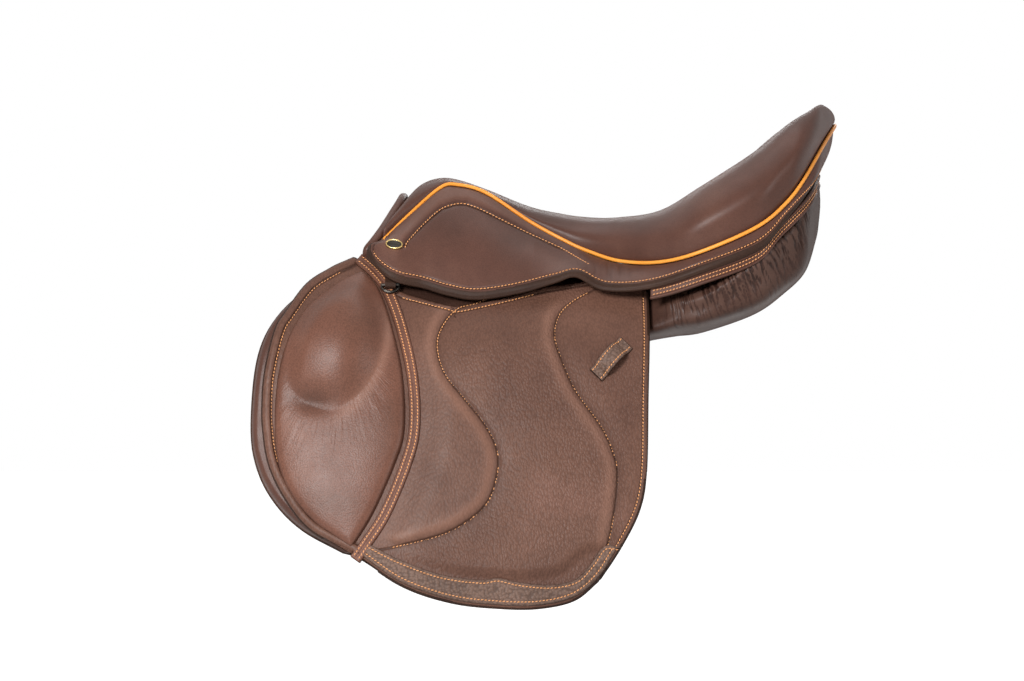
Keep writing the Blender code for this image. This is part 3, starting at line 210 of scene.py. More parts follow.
def leather(name, look):
    # hide colour that drifts over the piece, grain cells with darker creases, and painted light: painted shade
    # darkening folds and a painted highlight colour lightening ridges
    made = bpy.data.materials.new(name)
    made.use_nodes = True
    tree = made.node_tree
    shader = tree.nodes["Principled BSDF"]
    join = tree.links.new
    place = tree.nodes.new("ShaderNodeTexCoord")
    drift = nodeOf(tree, "ShaderNodeTexNoise", Scale=11.0, Detail=4.0, Roughness=0.6)
    hide = ramp(tree, ((0.3, linear(look["dark"])), (0.55, linear(look["base"])), (0.78, linear(look["light"]))))
    grain = nodeOf(tree, "ShaderNodeTexVoronoi", Scale=1 / look["cell"], Randomness=0.9)
    bend = nodeOf(tree, "ShaderNodeTexNoise", Scale=0.35 / look["cell"], Detail=2.0)
    warp = nodeOf(tree, "ShaderNodeMix", data_type="VECTOR")
    warp.inputs[0].default_value = look["cell"] * 0.9
    fine = nodeOf(tree, "ShaderNodeTexNoise", Scale=2.6 / look["cell"], Detail=3.0, Roughness=0.6)
    height = nodeOf(tree, "ShaderNodeMix", data_type="FLOAT")
    height.inputs[0].default_value = look.get("fine", 0.25)
    crease = nodeOf(tree, "ShaderNodeMapRange")
    crease.inputs["From Min"].default_value = 0.35
    crease.inputs["From Max"].default_value = 0.75
    crease.inputs["To Max"].default_value = look["creaseTone"]
    creased = nodeOf(tree, "ShaderNodeMix", data_type="RGBA")
    creased.inputs[7].default_value = linear(look["crease"])
    # the attribute read here carries painted light: above zero mixes toward the painted highlight colour, below zero
    # toward the crease colour as painted shade
    tone = nodeOf(tree, "ShaderNodeAttribute", attribute_name="tone")
    up = nodeOf(tree, "ShaderNodeMapRange")
    up.inputs["To Max"].default_value = 0.8
    down = nodeOf(tree, "ShaderNodeMapRange")
    down.inputs["From Max"].default_value = -1.0
    down.inputs["To Max"].default_value = 0.85
    worn = nodeOf(tree, "ShaderNodeMix", data_type="RGBA")
    worn.inputs[7].default_value = linear(look["worn"])
    folded = nodeOf(tree, "ShaderNodeMix", data_type="RGBA")
    folded.inputs[7].default_value = linear(look["crease"])
    sheen = nodeOf(tree, "ShaderNodeTexNoise", Scale=60.0, Detail=3.0)
    gloss = nodeOf(tree, "ShaderNodeMapRange")
    gloss.inputs["To Min"].default_value = look["rough"] - 0.07
    gloss.inputs["To Max"].default_value = look["rough"] + 0.09
    bump = nodeOf(tree, "ShaderNodeBump", Distance=look["depth"])
    bump.invert = True
    grained = nodeOf(tree, "ShaderNodeAttribute", attribute_name="grained")
    relief = nodeOf(tree, "ShaderNodeMapRange")
    relief.inputs["To Min"].default_value = look.get("strength", 0.6)
    relief.inputs["To Max"].default_value = 1.0
    long = nodeOf(tree, "ShaderNodeMapping", Scale=look.get("stretch", (1.0, 1.0, 1.0)))
    long.inputs["Rotation"].default_value = (0.0, look.get("lean", 0.0), 0.0)
    join(grained.outputs["Fac"], relief.inputs["Value"])
    join(relief.outputs["Result"], bump.inputs["Strength"])
    join(place.outputs["Object"], long.inputs["Vector"])
    for texture in (drift, bend, sheen):
        join(place.outputs["Object"], texture.inputs["Vector"])
    join(long.outputs["Vector"], fine.inputs["Vector"])
    join(long.outputs["Vector"], warp.inputs[4])
    join(bend.outputs["Color"], warp.inputs[5])
    join(warp.outputs[1], grain.inputs["Vector"])
    join(drift.outputs["Fac"], hide.inputs["Fac"])
    join(grain.outputs["Distance"], height.inputs[2])
    join(fine.outputs["Fac"], height.inputs[3])
    join(grain.outputs["Distance"], crease.inputs["Value"])
    join(crease.outputs["Result"], creased.inputs[0])
    join(hide.outputs["Color"], creased.inputs[6])
    join(tone.outputs["Fac"], up.inputs["Value"])
    join(tone.outputs["Fac"], down.inputs["Value"])
    join(up.outputs["Result"], worn.inputs[0])
    join(creased.outputs[2], worn.inputs[6])
    join(down.outputs["Result"], folded.inputs[0])
    join(worn.outputs[2], folded.inputs[6])
    join(sheen.outputs["Fac"], gloss.inputs["Value"])
    facing = nodeOf(tree, "ShaderNodeLayerWeight", Blend=0.3)
    dull = nodeOf(tree, "ShaderNodeMapRange", interpolation_type="SMOOTHSTEP")
    dull.inputs["From Min"].default_value = 0.45
    dull.inputs["To Max"].default_value = 0.5
    rough = nodeOf(tree, "ShaderNodeMath", operation="ADD", use_clamp=True)
    join(facing.outputs["Facing"], dull.inputs["Value"])
    join(gloss.outputs["Result"], rough.inputs[0])
    join(dull.outputs["Result"], rough.inputs[1])
    join(rough.outputs["Value"], shader.inputs["Roughness"])
    join(height.outputs[0], bump.inputs["Height"])
    join(bump.outputs["Normal"], shader.inputs["Normal"])
    # sewn lines press a groove, darkened with painted shade, and "flow" draws fine wrinkles where "wrinkled" says
    seam = nodeOf(tree, "ShaderNodeAttribute", attribute_name="seam")
    sewn = nodeOf(tree, "ShaderNodeAttribute", attribute_name="sewn")
    near = nodeOf(tree, "ShaderNodeMath", operation="ABSOLUTE")
    valley = nodeOf(tree, "ShaderNodeMapRange", interpolation_type="SMOOTHSTEP")
    valley.inputs["From Max"].default_value = 0.3
    valley.inputs["To Min"].default_value = 1.0
    valley.inputs["To Max"].default_value = 0.0
    pressed = nodeOf(tree, "ShaderNodeMath", operation="MULTIPLY")
    seamBump = nodeOf(tree, "ShaderNodeBump", Strength=0.8, Distance=0.0008)
    seamBump.invert = True
    # painted shade: the pressed groove darkens the colour toward the crease colour
    grooveShade = nodeOf(tree, "ShaderNodeMath", operation="MULTIPLY")
    grooveShade.inputs[1].default_value = 0.55
    grooved = nodeOf(tree, "ShaderNodeMix", data_type="RGBA")
    grooved.inputs[7].default_value = linear(look["crease"])
    flowA = nodeOf(tree, "ShaderNodeAttribute", attribute_name="flowA")
    flowB = nodeOf(tree, "ShaderNodeAttribute", attribute_name="flowB")
    wrinkled = nodeOf(tree, "ShaderNodeAttribute", attribute_name="wrinkled")
    flow = tree.nodes.new("ShaderNodeCombineXYZ")
    lines = nodeOf(tree, "ShaderNodeTexNoise", Scale=2.3, Detail=2.0, Roughness=0.5)
    folds = nodeOf(tree, "ShaderNodeMath", operation="MULTIPLY")
    foldBump = nodeOf(tree, "ShaderNodeBump", Strength=0.7, Distance=0.00045)
    join(seam.outputs["Fac"], near.inputs[0])
    join(near.outputs["Value"], valley.inputs["Value"])
    join(valley.outputs["Result"], pressed.inputs[0])
    join(sewn.outputs["Fac"], pressed.inputs[1])
    join(pressed.outputs["Value"], seamBump.inputs["Height"])
    join(pressed.outputs["Value"], grooveShade.inputs[0])
    join(grooveShade.outputs["Value"], grooved.inputs[0])
    join(folded.outputs[2], grooved.inputs[6])
    join(grooved.outputs[2], shader.inputs["Base Color"])
    join(flowA.outputs["Fac"], flow.inputs["X"])
    join(flowB.outputs["Fac"], flow.inputs["Y"])
    join(flow.outputs["Vector"], lines.inputs["Vector"])
    join(lines.outputs["Fac"], folds.inputs[0])
    join(wrinkled.outputs["Fac"], folds.inputs[1])
    join(folds.outputs["Value"], foldBump.inputs["Height"])
    join(seamBump.outputs["Normal"], foldBump.inputs["Normal"])
    join(foldBump.outputs["Normal"], bump.inputs["Normal"])
    shader.inputs["Specular IOR Level"].default_value = look.get("shine", 0.14)
    shader.inputs["Coat Weight"].default_value = look.get("coat", 0.0)
    shader.inputs["Coat Roughness"].default_value = 0.34
    return made


def metal(name, base, rough, scratch):
    # cast or drawn metal, with fine marks that break the shine
    made = bpy.data.materials.new(name)
    made.use_nodes = True
    tree = made.node_tree
    shader = tree.nodes["Principled BSDF"]
    join = tree.links.new
    place = tree.nodes.new("ShaderNodeTexCoord")
    marks = nodeOf(tree, "ShaderNodeTexNoise", Scale=420.0, Detail=5.0, Roughness=0.7)
    cloud = nodeOf(tree, "ShaderNodeTexNoise", Scale=70.0, Detail=2.0)
    tint = ramp(tree, ((0.3, linear(base[0])), (0.7, linear(base[1]))))
    gloss = nodeOf(tree, "ShaderNodeMapRange")
    gloss.inputs["To Min"].default_value = rough - 0.06
    gloss.inputs["To Max"].default_value = rough + 0.12
    bump = nodeOf(tree, "ShaderNodeBump", Strength=0.3, Distance=scratch)
    join(place.outputs["Object"], marks.inputs["Vector"])
    join(place.outputs["Object"], cloud.inputs["Vector"])
    join(cloud.outputs["Fac"], tint.inputs["Fac"])
    join(tint.outputs["Color"], shader.inputs["Base Color"])
    join(marks.outputs["Fac"], gloss.inputs["Value"])
    join(gloss.outputs["Result"], shader.inputs["Roughness"])
    join(marks.outputs["Fac"], bump.inputs["Height"])
    join(bump.outputs["Normal"], shader.inputs["Normal"])
    shader.inputs["Metallic"].default_value = 1.0
    return made


def striped(name, dark, light, scale, rough, depth, turn=(0.0, 0.0, 0.0)):
    # bands across the piece: twisted thread, woven web, laminated wood or a burnished cut edge
    made = bpy.data.materials.new(name)
    made.use_nodes = True
    tree = made.node_tree
    shader = tree.nodes["Principled BSDF"]
    join = tree.links.new
    place = tree.nodes.new("ShaderNodeTexCoord")
    lay = nodeOf(tree, "ShaderNodeMapping")
    lay.inputs["Rotation"].default_value = turn
    wave = nodeOf(tree, "ShaderNodeTexWave", Scale=scale, Distortion=1.6, Detail=2.0)
    tint = ramp(tree, ((0.15, linear(dark)), (0.85, linear(light))))
    bump = nodeOf(tree, "ShaderNodeBump", Strength=0.5, Distance=depth)
    join(place.outputs["Object"], lay.inputs["Vector"])
    join(lay.outputs["Vector"], wave.inputs["Vector"])
    join(wave.outputs["Fac"], tint.inputs["Fac"])
    join(tint.outputs["Color"], shader.inputs["Base Color"])
    join(wave.outputs["Fac"], bump.inputs["Height"])
    join(bump.outputs["Normal"], shader.inputs["Normal"])
    shader.inputs["Roughness"].default_value = rough
    return made


# in each look the ridge colour is a painted highlight, laid on raised ridges by the painted-light attribute
leathers = {
    "seat": {"base": "#50342B", "dark": "#432B23", "light": "#5E4035", "crease": "#24140F", "worn": "#8E6A5C",
             "cell": 0.0012, "depth": 0.00014, "rough": 0.38, "creaseTone": 0.2, "shine": 0.17},
    "block": {"base": "#654235", "dark": "#57392D", "light": "#754F40", "crease": "#24150F", "worn": "#967060",
              "cell": 0.0016, "depth": 0.00025, "rough": 0.38, "creaseTone": 0.25, "shine": 0.18},
    "flap": {"base": "#5F4236", "dark": "#52382E", "light": "#6D4D41", "crease": "#20120D", "worn": "#98705F",
             "cell": 0.0025, "depth": 0.0008, "rough": 0.43, "creaseTone": 0.22, "strength": 0.35,
             "stretch": (1.25, 1.0, 0.72), "lean": 0.3},
    "pebble": {"base": "#6E574C", "dark": "#5C483E", "light": "#7E665A", "crease": "#2A1C16", "worn": "#9E8475",
               "cell": 0.0028, "depth": 0.0011, "rough": 0.46, "creaseTone": 0.5, "fine": 0.15, "strength": 0.8},
    "panel": {"base": "#3C2720", "dark": "#2E1E18", "light": "#4A332A", "crease": "#140B08", "worn": "#8A6A5C",
              "cell": 0.0014, "depth": 0.00016, "rough": 0.4, "creaseTone": 0.25},
    "lining": {"base": "#453129", "dark": "#372620", "light": "#554036", "crease": "#1D120E", "worn": "#6E564A",
               "cell": 0.0018, "depth": 0.0002, "rough": 0.6, "creaseTone": 0.3},
    "edge": {"base": "#34231B", "dark": "#291A14", "light": "#422E25", "crease": "#120A07", "worn": "#5E453A",
             "cell": 0.0012, "depth": 0.0002, "rough": 0.48, "creaseTone": 0.3, "shine": 0.1},
    "welt": {"base": "#E8983C", "dark": "#DB862D", "light": "#F4B057", "crease": "#B7601B", "worn": "#FFC57A",
             "cell": 0.0009, "depth": 0.00008, "rough": 0.35, "creaseTone": 0.2, "coat": 0.2},
}
finish = {key: leather(key + " leather", look) for key, look in leathers.items()}
finish["thread"] = striped("waxed thread", "#AE6E3E", "#E2A36C", 900.0, 0.55, 0.0001, (0.0, 0.6, 0.6))
# dark beads standing in for the stitch holes: painted shade
finish["needleHole"] = striped("needle hole", "#170E0A", "#21140F", 300.0, 0.8, 0.0001)
finish["web"] = striped("woven web", "#8F8368", "#C9BE9F", 420.0, 0.9, 0.0003, (0.0, 0.3, 0.0))
finish["beech"] = striped("laminated beech", "#8E673C", "#C0966A", 120.0, 0.5, 0.0001, (1.3, 0.0, 0.0))
finish["brass"] = metal("polished brass", ("#A98B52", "#D6BC80"), 0.24, 0.00003)
finish["darkSteel"] = metal("browned steel", ("#1E1C1A", "#3C3834"), 0.36, 0.00004)
finish["steel"] = metal("forged steel", ("#7C7C7E", "#A9A9AC"), 0.34, 0.00005)
print("materials made")


def boundary(rows, columns):  # grid places of the outline, once round
    loop = [(0, j) for j in range(columns)] + [(i, columns - 1) for i in range(1, rows)]
    loop += [(rows - 1, j) for j in range(columns - 2, -1, -1)] + [(i, 0) for i in range(rows - 2, 0, -1)]
    return np.array(loop)


def meshObject(name, points, quads, finishes, slots=None, values=None):
    mesh = bpy.data.meshes.new(name)
    mesh.vertices.add(len(points))
    mesh.vertices.foreach_set("co", np.asarray(points, np.float32).ravel())
    sizes = np.array([len(face) for face in quads])
    mesh.loops.add(int(sizes.sum()))
    mesh.loops.foreach_set("vertex_index", np.concatenate([np.asarray(face, np.int32) for face in quads]))
    mesh.polygons.add(len(quads))
    mesh.polygons.foreach_set("loop_start", np.concatenate(([0], np.cumsum(sizes)[:-1])).astype(np.int32))
    if slots is not None:
        mesh.polygons.foreach_set("material_index", np.asarray(slots, np.int32))
    for key in finishes:
        mesh.materials.append(finish[key])
    for key, table in (values or {}).items():
        layer = mesh.attributes.new(key, "FLOAT", "POINT")
        layer.data.foreach_set("value", np.asarray(table, np.float32).ravel())
    mesh.update(calc_edges=True)
    mesh.validate()
    mesh.shade_smooth()
    made = bpy.data.objects.new(name, mesh)
    bpy.context.scene.collection.objects.link(made)
    return made


def shell(name, outer, inner, finishes, bulge=0.8, rim=5, dark=None, rimSlot=1, values=None):
    # closed body between two grids, with a rounded edge all round; dark marks grid points of the dyed edge
    rows, columns = outer.shape[:2]
    total = rows * columns
    index = np.arange(total).reshape(rows, columns)
    a, b, c, d = index[:-1, :-1].ravel(), index[:-1, 1:].ravel(), index[1:, 1:].ravel(), index[1:, :-1].ravel()
    top = np.stack((a, b, c, d), axis=1)
    flat = outer.reshape(-1, 3)
    face = top[len(top) // 2]
    normal = np.cross(flat[face[2]] - flat[face[0]], flat[face[3]] - flat[face[1]])
    flip = np.dot(normal, (outer - inner).reshape(-1, 3)[face[0]]) < 0
    loop = boundary(rows, columns)
    edge = index[loop[:, 0], loop[:, 1]]
    within = index[np.clip(loop[:, 0], 1, rows - 2), np.clip(loop[:, 1], 1, columns - 2)]
    high, low = flat[edge], inner.reshape(-1, 3)[edge]
    half = (high - low) / 2
    ahead = np.roll(high, -1, axis=0) - np.roll(high, 1, axis=0)
    away = unit(np.cross(ahead, half))
    away *= np.where(np.sum(away * (high - flat[within]), axis=1) < 0, -1.0, 1.0)[:, None]
    reach = np.linalg.norm(half, axis=1, keepdims=True) * bulge
    rings = []
    for k in range(1, rim):
        turn = math.pi * k / rim
        rings.append((high + low) / 2 + half * math.cos(turn) + away * reach * math.sin(turn))
    count = len(edge)
    chain = [edge] + [np.arange(count) + 2 * total + k * count for k in range(rim - 1)] + [edge + total]
    bottom = top[:, ::-1] + total
    around = []
    for this, following in zip(chain[:-1], chain[1:]):
        around.append(np.stack((this, following, np.roll(following, -1), np.roll(this, -1)), axis=1))
    around = np.concatenate(around)
    faces = np.concatenate((top, bottom, around))
    if flip:
        faces = faces[:, ::-1]
    slots = np.concatenate((np.zeros(2 * len(top)), np.full(len(around), rimSlot)))
    if dark is not None:
        marked = dark.ravel()[top].all(axis=1)
        slots[:len(top)] = np.where(marked, rimSlot, 0)
        slots[len(top):2 * len(top)] = slots[:len(top)]
    points = np.concatenate((flat, inner.reshape(-1, 3), *rings))
    spread = {}
    for key, table in (values or {}).items():
        table = np.asarray(table, float).reshape(-1)
        spread[key] = np.concatenate((table, table * 0, np.zeros(count * (rim - 1))))
    return meshObject(name, points, list(faces), finishes, slots, spread)


def roll(name, path, across, high, finishes, up, sides=14, cap=5):  # round bar of leather along a path, with rounded ends
    path = np.asarray(path, float)
    ahead = unit(np.gradient(path, axis=0))
    wide = unit(np.cross(np.broadcast_to(up, path.shape), ahead))
    tall = np.cross(ahead, wide)
    across = np.broadcast_to(across, (len(path),))
    high = np.broadcast_to(high, (len(path),))
    turns = 2 * np.pi * np.arange(sides) / sides
    rings = []
    for k in range(cap):
        push = math.sin(math.pi / 2 * (cap - k) / cap)
        rings.append((path[0] - ahead[0] * across[0] * push, math.cos(math.pi / 2 * (cap - k) / cap), 0))
    rings += [(path[k], 1.0, k) for k in range(len(path))]
    for k in range(1, cap + 1):
        push = math.sin(math.pi / 2 * k / cap)
        rings.append((path[-1] + ahead[-1] * across[-1] * push, math.cos(math.pi / 2 * k / cap), len(path) - 1))
    points = []
    for centre, size, k in rings:
        size = max(size, 0.02)
        ring = wide[k] * (np.cos(turns) * across[k] * size)[:, None] + tall[k] * (np.sin(turns) * high[k] * size)[:, None]
        points.append(centre + ring)
    index = np.arange(len(rings) * sides).reshape(len(rings), sides)
    faces = []
    for this, following in zip(index[:-1], index[1:]):
        faces += list(np.stack((this, np.roll(this, -1), np.roll(following, -1), following), axis=1))
    faces = [face[::-1] for face in faces] if turned(points, index) else faces
    ends = [index[0][::-1], index[-1]]
    ends = [face[::-1] for face in ends] if turned(points, index) else ends
    return meshObject(name, np.concatenate(points), faces + ends, finishes)


def turned(points, index):  # whether a roll's faces look inwards
    points = np.concatenate(points)
    k = len(index) // 2
    a, b, c = points[index[k][0]], points[index[k][1]], points[index[k + 1][1]]
    centre = points[index[k]].mean(axis=0)
    return np.dot(np.cross(b - a, c - a), a - centre) < 0


stitchRows = {}


def stitchRow(key, points, ups, pitch=0.0033):  # remembers a row of stitches for the body or piece named key
    points = np.asarray(points, float)
    steps = np.concatenate(([0.0], np.cumsum(np.linalg.norm(np.diff(points, axis=0), axis=1))))
    if steps[-1] < 2 * pitch:
        return
    wanted = np.linspace(0, steps[-1], max(int(steps[-1] / 0.0016), 3))
    line = np.stack([np.interp(wanted, steps, points[:, k]) for k in range(3)], axis=1)
    up = unit(np.stack([np.interp(wanted, steps, np.asarray(ups)[:, k]) for k in range(3)], axis=1))
    stitchRows.setdefault(key, []).append((line, up))


def stitchNodes():
    # rows of points become even stitches: a slightly slanted thread between two holes, each hole a dark flattened bead
    # of painted shade, turned to the leather
    tree = bpy.data.node_groups.new("stitches", "GeometryNodeTree")
    for label, kind, value in (("Geometry", "NodeSocketGeometry", None), ("pitch", "NodeSocketFloat", 0.0033),
                               ("thread length", "NodeSocketFloat", 0.0026), ("thread width", "NodeSocketFloat", 0.0011)):
        socket = tree.interface.new_socket(label, in_out="INPUT", socket_type=kind)
        if value is not None:
            socket.default_value = value
    tree.interface.new_socket("Geometry", in_out="OUTPUT", socket_type="NodeSocketGeometry")
    join = tree.links.new
    come = tree.nodes.new("NodeGroupInput")
    go = tree.nodes.new("NodeGroupOutput")
    curve = tree.nodes.new("GeometryNodeMeshToCurve")
    join(come.outputs["Geometry"], curve.inputs["Mesh"])
    both = tree.nodes.new("GeometryNodeJoinGeometry")
    for part in ("thread", "hole"):
        spaced = tree.nodes.new("GeometryNodeResampleCurve")
        spaced.mode = "LENGTH"
        join(curve.outputs["Curve"], spaced.inputs["Curve"])
        join(come.outputs["pitch"], spaced.inputs["Length"])
        ball = nodeOf(tree, "GeometryNodeMeshIcoSphere", Radius=0.5, Subdivisions=2 if part == "thread" else 1)
        size = tree.nodes.new("ShaderNodeCombineXYZ")
        if part == "thread":
            join(come.outputs["thread length"], size.inputs["X"])
            join(come.outputs["thread width"], size.inputs["Y"])
            size.inputs["Z"].default_value = 0.001
        else:
            for socket, value in zip("XYZ", (0.0009, 0.0011, 0.0007)):
                size.inputs[socket].default_value = value
        tangent = tree.nodes.new("GeometryNodeInputTangent")
        toTangent = tree.nodes.new("FunctionNodeAlignRotationToVector")
        toTangent.axis = "X"
        up = nodeOf(tree, "GeometryNodeInputNamedAttribute", data_type="FLOAT_VECTOR", Name="up")
        toUp = tree.nodes.new("FunctionNodeAlignRotationToVector")
        toUp.axis = "Z"
        toUp.pivot_axis = "X"
        slant = tree.nodes.new("FunctionNodeRotateRotation")
        slant.rotation_space = "LOCAL"
        slant.inputs["Rotate By"].default_value = (0.0, 0.0, 0.2)
        place = tree.nodes.new("GeometryNodeInstanceOnPoints")
        shift = tree.nodes.new("GeometryNodeTranslateInstances")
        shift.inputs["Local Space"].default_value = True
        shift.inputs["Translation"].default_value = (0.0, 0.0, 0.0) if part == "thread" else (1.0, 0.0, -0.1)
        if part == "hole":
            half = nodeOf(tree, "ShaderNodeMath", operation="MULTIPLY")
            half.inputs[1].default_value = 0.5
            move = tree.nodes.new("ShaderNodeCombineXYZ")
            join(come.outputs["pitch"], half.inputs[0])
            join(half.outputs["Value"], move.inputs["X"])
            join(move.outputs["Vector"], shift.inputs["Translation"])
        real = tree.nodes.new("GeometryNodeRealizeInstances")
        smooth = tree.nodes.new("GeometryNodeSetShadeSmooth")
        paint = tree.nodes.new("GeometryNodeSetMaterial")
        paint.inputs["Material"].default_value = finish["thread" if part == "thread" else "needleHole"]
        join(spaced.outputs["Curve"], place.inputs["Points"])
        join(ball.outputs["Mesh"], place.inputs["Instance"])
        join(size.outputs["Vector"], place.inputs["Scale"])
        join(tangent.outputs["Tangent"], toTangent.inputs["Vector"])
        join(toTangent.outputs["Rotation"], toUp.inputs["Rotation"])
        join(up.outputs["Attribute"], toUp.inputs["Vector"])
        join(toUp.outputs["Rotation"], slant.inputs["Rotation"])
        join(slant.outputs["Rotation"], place.inputs["Rotation"])
        join(place.outputs["Instances"], shift.inputs["Instances"])
        join(shift.outputs["Instances"], real.inputs["Geometry"])
        join(real.outputs["Geometry"], smooth.inputs["Geometry"])
        join(smooth.outputs["Geometry"], paint.inputs["Geometry"])
        join(paint.outputs["Geometry"], both.inputs["Geometry"])
    join(both.outputs["Geometry"], go.inputs["Geometry"])
    return tree


def sewRows():  # makes the stitches of each body as one plain mesh
    tree = stitchNodes()
    ends = {item.name: item.identifier for item in tree.interface.items_tree if item.in_out == "INPUT"}
    made = {}
    for key, rows in stitchRows.items():
        points = np.concatenate([line for line, _ in rows])
        ups = np.concatenate([up for _, up in rows])
        edges, start = [], 0
        for line, _ in rows:
            edges += [(start + k, start + k + 1) for k in range(len(line) - 1)]
            start += len(line)
        mesh = bpy.data.meshes.new("rows")
        mesh.from_pydata([tuple(p) for p in points], edges, [])
        layer = mesh.attributes.new("up", "FLOAT_VECTOR", "POINT")
        layer.data.foreach_set("vector", ups.astype(np.float32).ravel())
        rowsObject = bpy.data.objects.new("rows", mesh)
        bpy.context.scene.collection.objects.link(rowsObject)
        change = rowsObject.modifiers.new("stitches", "NODES")
        change.node_group = tree
        change[ends["pitch"]] = 0.0033
        change[ends["thread length"]] = 0.0026
        change[ends["thread width"]] = 0.0011
        seen = rowsObject.evaluated_get(bpy.context.evaluated_depsgraph_get())
        plain = bpy.data.meshes.new_from_object(seen)
        plain.name = "stitches_" + key
        piece = bpy.data.objects.new("stitches_" + key, plain)
        bpy.context.scene.collection.objects.link(piece)
        bpy.data.objects.remove(rowsObject)
        made[key] = piece
    return made


def fromPhoto(points, outward):  # photo places to (x, z) in metres for a face that stands outward from the centre plane
    share = 0.98e-3 * (1 - outward / 3.5)
    return [((px - 512) * share - 0.027, (340.5 - py) * share) for px, py in points]


def belowNormal(outer, thick):  # a grid lowered square to itself, towards the saddle's inside
    normal = gridNormals(outer)
    away = np.stack((np.zeros(outer.shape[:2]), outer[..., 1], outer[..., 2] - 0.02), axis=-1)
    flip = np.where(np.sum(normal * away, axis=-1) < 0, -1.0, 1.0)
    normal = normal * (np.sign(np.median(flip)) or 1.0)
    return outer - normal * np.asarray(thick)[..., None], normal


# seat: one drawn leather over its foam, sewn down into the welt on both sides
seat = {"rows": 190, "columns": 111, "thick": 0.0025, "tuck": 0.0016, "end": 14.93, "smooth": 40, "nose": 0.0055}
seatRows = np.linspace(0, seat["end"], seat["rows"])
seatColumns = np.linspace(-1, 1, seat["columns"])
seatGrid = np.array([[seatPoint(u, abs(c)) * (1, -1 if c < 0 else 1, 1) for c in seatColumns] for u in seatRows])
softly = seatGrid.copy()
for _ in range(seat["smooth"]):
    softly[:, 1:-1] = (softly[:, :-2] + 2 * softly[:, 1:-1] + softly[:, 2:]) / 4
sewnDown = ease((1 - np.abs(seatColumns)) / 0.12)[None, :, None]
lost = seatGrid[..., 2].max(axis=1) - softly[..., 2].max(axis=1)  # the crest keeps its height
softly = softly + lost[:, None, None] * np.array((0.0, 0.0, 1.0))
seatGrid = softly * sewnDown + seatGrid * (1 - sewnDown)
noseAlong = np.where(seatRows > 14.75, np.sqrt(np.maximum(1 - ((seatRows - 14.75) / 0.25) ** 2, 0)), ease((seatRows - 14.0) / 0.7))
seatGrid = seatGrid + (seat["nose"] * noseAlong)[:, None, None] * np.array((0.25, 0.0, 1.0)) * sewnDown
seatUnder, seatUp = belowNormal(seatGrid, np.full(seatGrid.shape[:2], seat["thick"]))
drop = seat["tuck"] * ease((np.abs(seatColumns) - 0.93) / 0.07)
seatGrid = seatGrid - seatUp * drop[None, :, None]
seatCover = shell("seatCover", seatGrid, seatUnder - seatUp * 0.001, ("seat", "seat"))
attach(seatCover, "root")
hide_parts("seat_cover", "seat_foam", "seat_webbing")

# welt: round cord in bright leather, sewn between the seat and the skirts and round the cantle
welt = {"radius": 0.0018, "out": 0.0012, "count": 420}
weltHalf = [seatLines(u)[2] + skirtNormal(u) * welt["out"] for u in np.linspace(0, lastStation, 120)]
weltPath = evenCurve([p * (1, -1, 1) for p in weltHalf] + weltHalf[-2::-1], welt["count"])
seatWelt = roll("seatWelt", weltPath, welt["radius"], welt["radius"], ("welt",), (0.0, 0.0, 1.0), 12, 3)
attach(seatWelt, "root")
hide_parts("seat_welt")
print("seat and welt made")


def gather(u, v):  # welt, lower edge, normal, arch and length of skirt rows, as arrays
    rows = [seatLines(k) for k in u]
    welts, edges = np.array([r[2] for r in rows]), np.array([r[3] for r in rows])
    normals = np.array([skirtNormal(k) for k in u])
    lengths = np.linalg.norm(edges - welts, axis=1)
    arch = 0.008 * (1 - 0.6 * ease((u - 5) / 2)) * (1 - 0.8 * ease((u - 10) / 2))
    arch = arch * np.minimum(1.0, (lengths / 0.09) ** 2)
    flat = welts[:, None] * (1 - v)[None, :, None] + edges[:, None] * v[None, :, None]
    flat = flat + normals[:, None] * (arch[:, None] * np.sin(np.pi * v)[None])[..., None]
    return flat, normals, lengths


def spots(grid, seed, size):  # smooth noise at each point of a grid, about -1 to 1
    flat = grid.reshape(-1, 3)
    shift = Vector((seed * 7.3, seed * 3.1, seed * 5.7))
    return np.array([noise.noise(Vector(p) / size + shift) for p in flat]).reshape(grid.shape[:2])


# skirts: leather lobes that hide the stirrup bars, with a stitched outline and a thick dyed lower edge
skirt = {"rows": 330, "thick": 0.004, "edgeThick": 0.0055, "end": 11.7, "rolled": 0.0068,
         "dyed": 0.0056, "stitchIn": 0.0082, "roll": 0.0024, "bow": 0.0062, "groove": 0.0011, "grooveWide": 0.0019,
         "frontNarrow": 1.6}
outline = fromPhoto([(405, 250), (407, 243), (415, 233), (427, 220), (441, 208), (455, 203), (466, 203), (480, 208),
                     (500, 218), (530, 233), (560, 247), (575, 256), (588, 264)], 0.09)
skirtU = np.linspace(0, skirt["end"], skirt["rows"])
skirtV = np.concatenate((np.linspace(0.0, 0.86, 44), np.linspace(0.86, 1.0, 21)[1:]))
skirtFlat, skirtOut, skirtLong = gather(skirtU, skirtV)
frontBow = skirt["bow"] * np.exp(-((skirtU / 0.55) ** 2))[:, None] * (np.sin(np.pi * np.clip(skirtV * 0.92, 0, 1)) ** 0.8)[None]
skirtFlat = skirtFlat + frontBow[..., None] * np.array((-0.93, 0.0, 0.37))
fromWelt = skirtV[None] * skirtLong[:, None]
fromLow = (1 - skirtV)[None] * skirtLong[:, None]
frontLine = skirtFlat[0][:, [0, 2]]
fromFront = skirt["frontNarrow"] * np.abs(sideOf(skirtFlat[..., 0], skirtFlat[..., 2], frontLine))
fromEdge = np.minimum(fromLow, fromFront)
corner = 0.02
inCorner = (fromLow < corner) & (fromFront < corner) & (skirtU < 1.5)[:, None]
fromEdge = np.where(inCorner, corner - np.hypot(corner - np.minimum(fromLow, corner), corner - np.minimum(fromFront, corner)), fromEdge)
fromEdge = np.maximum(fromEdge, 0.0)
outlineLong = fromPhoto([(388, 305), (393, 285), (400, 266)], 0.09) + outline
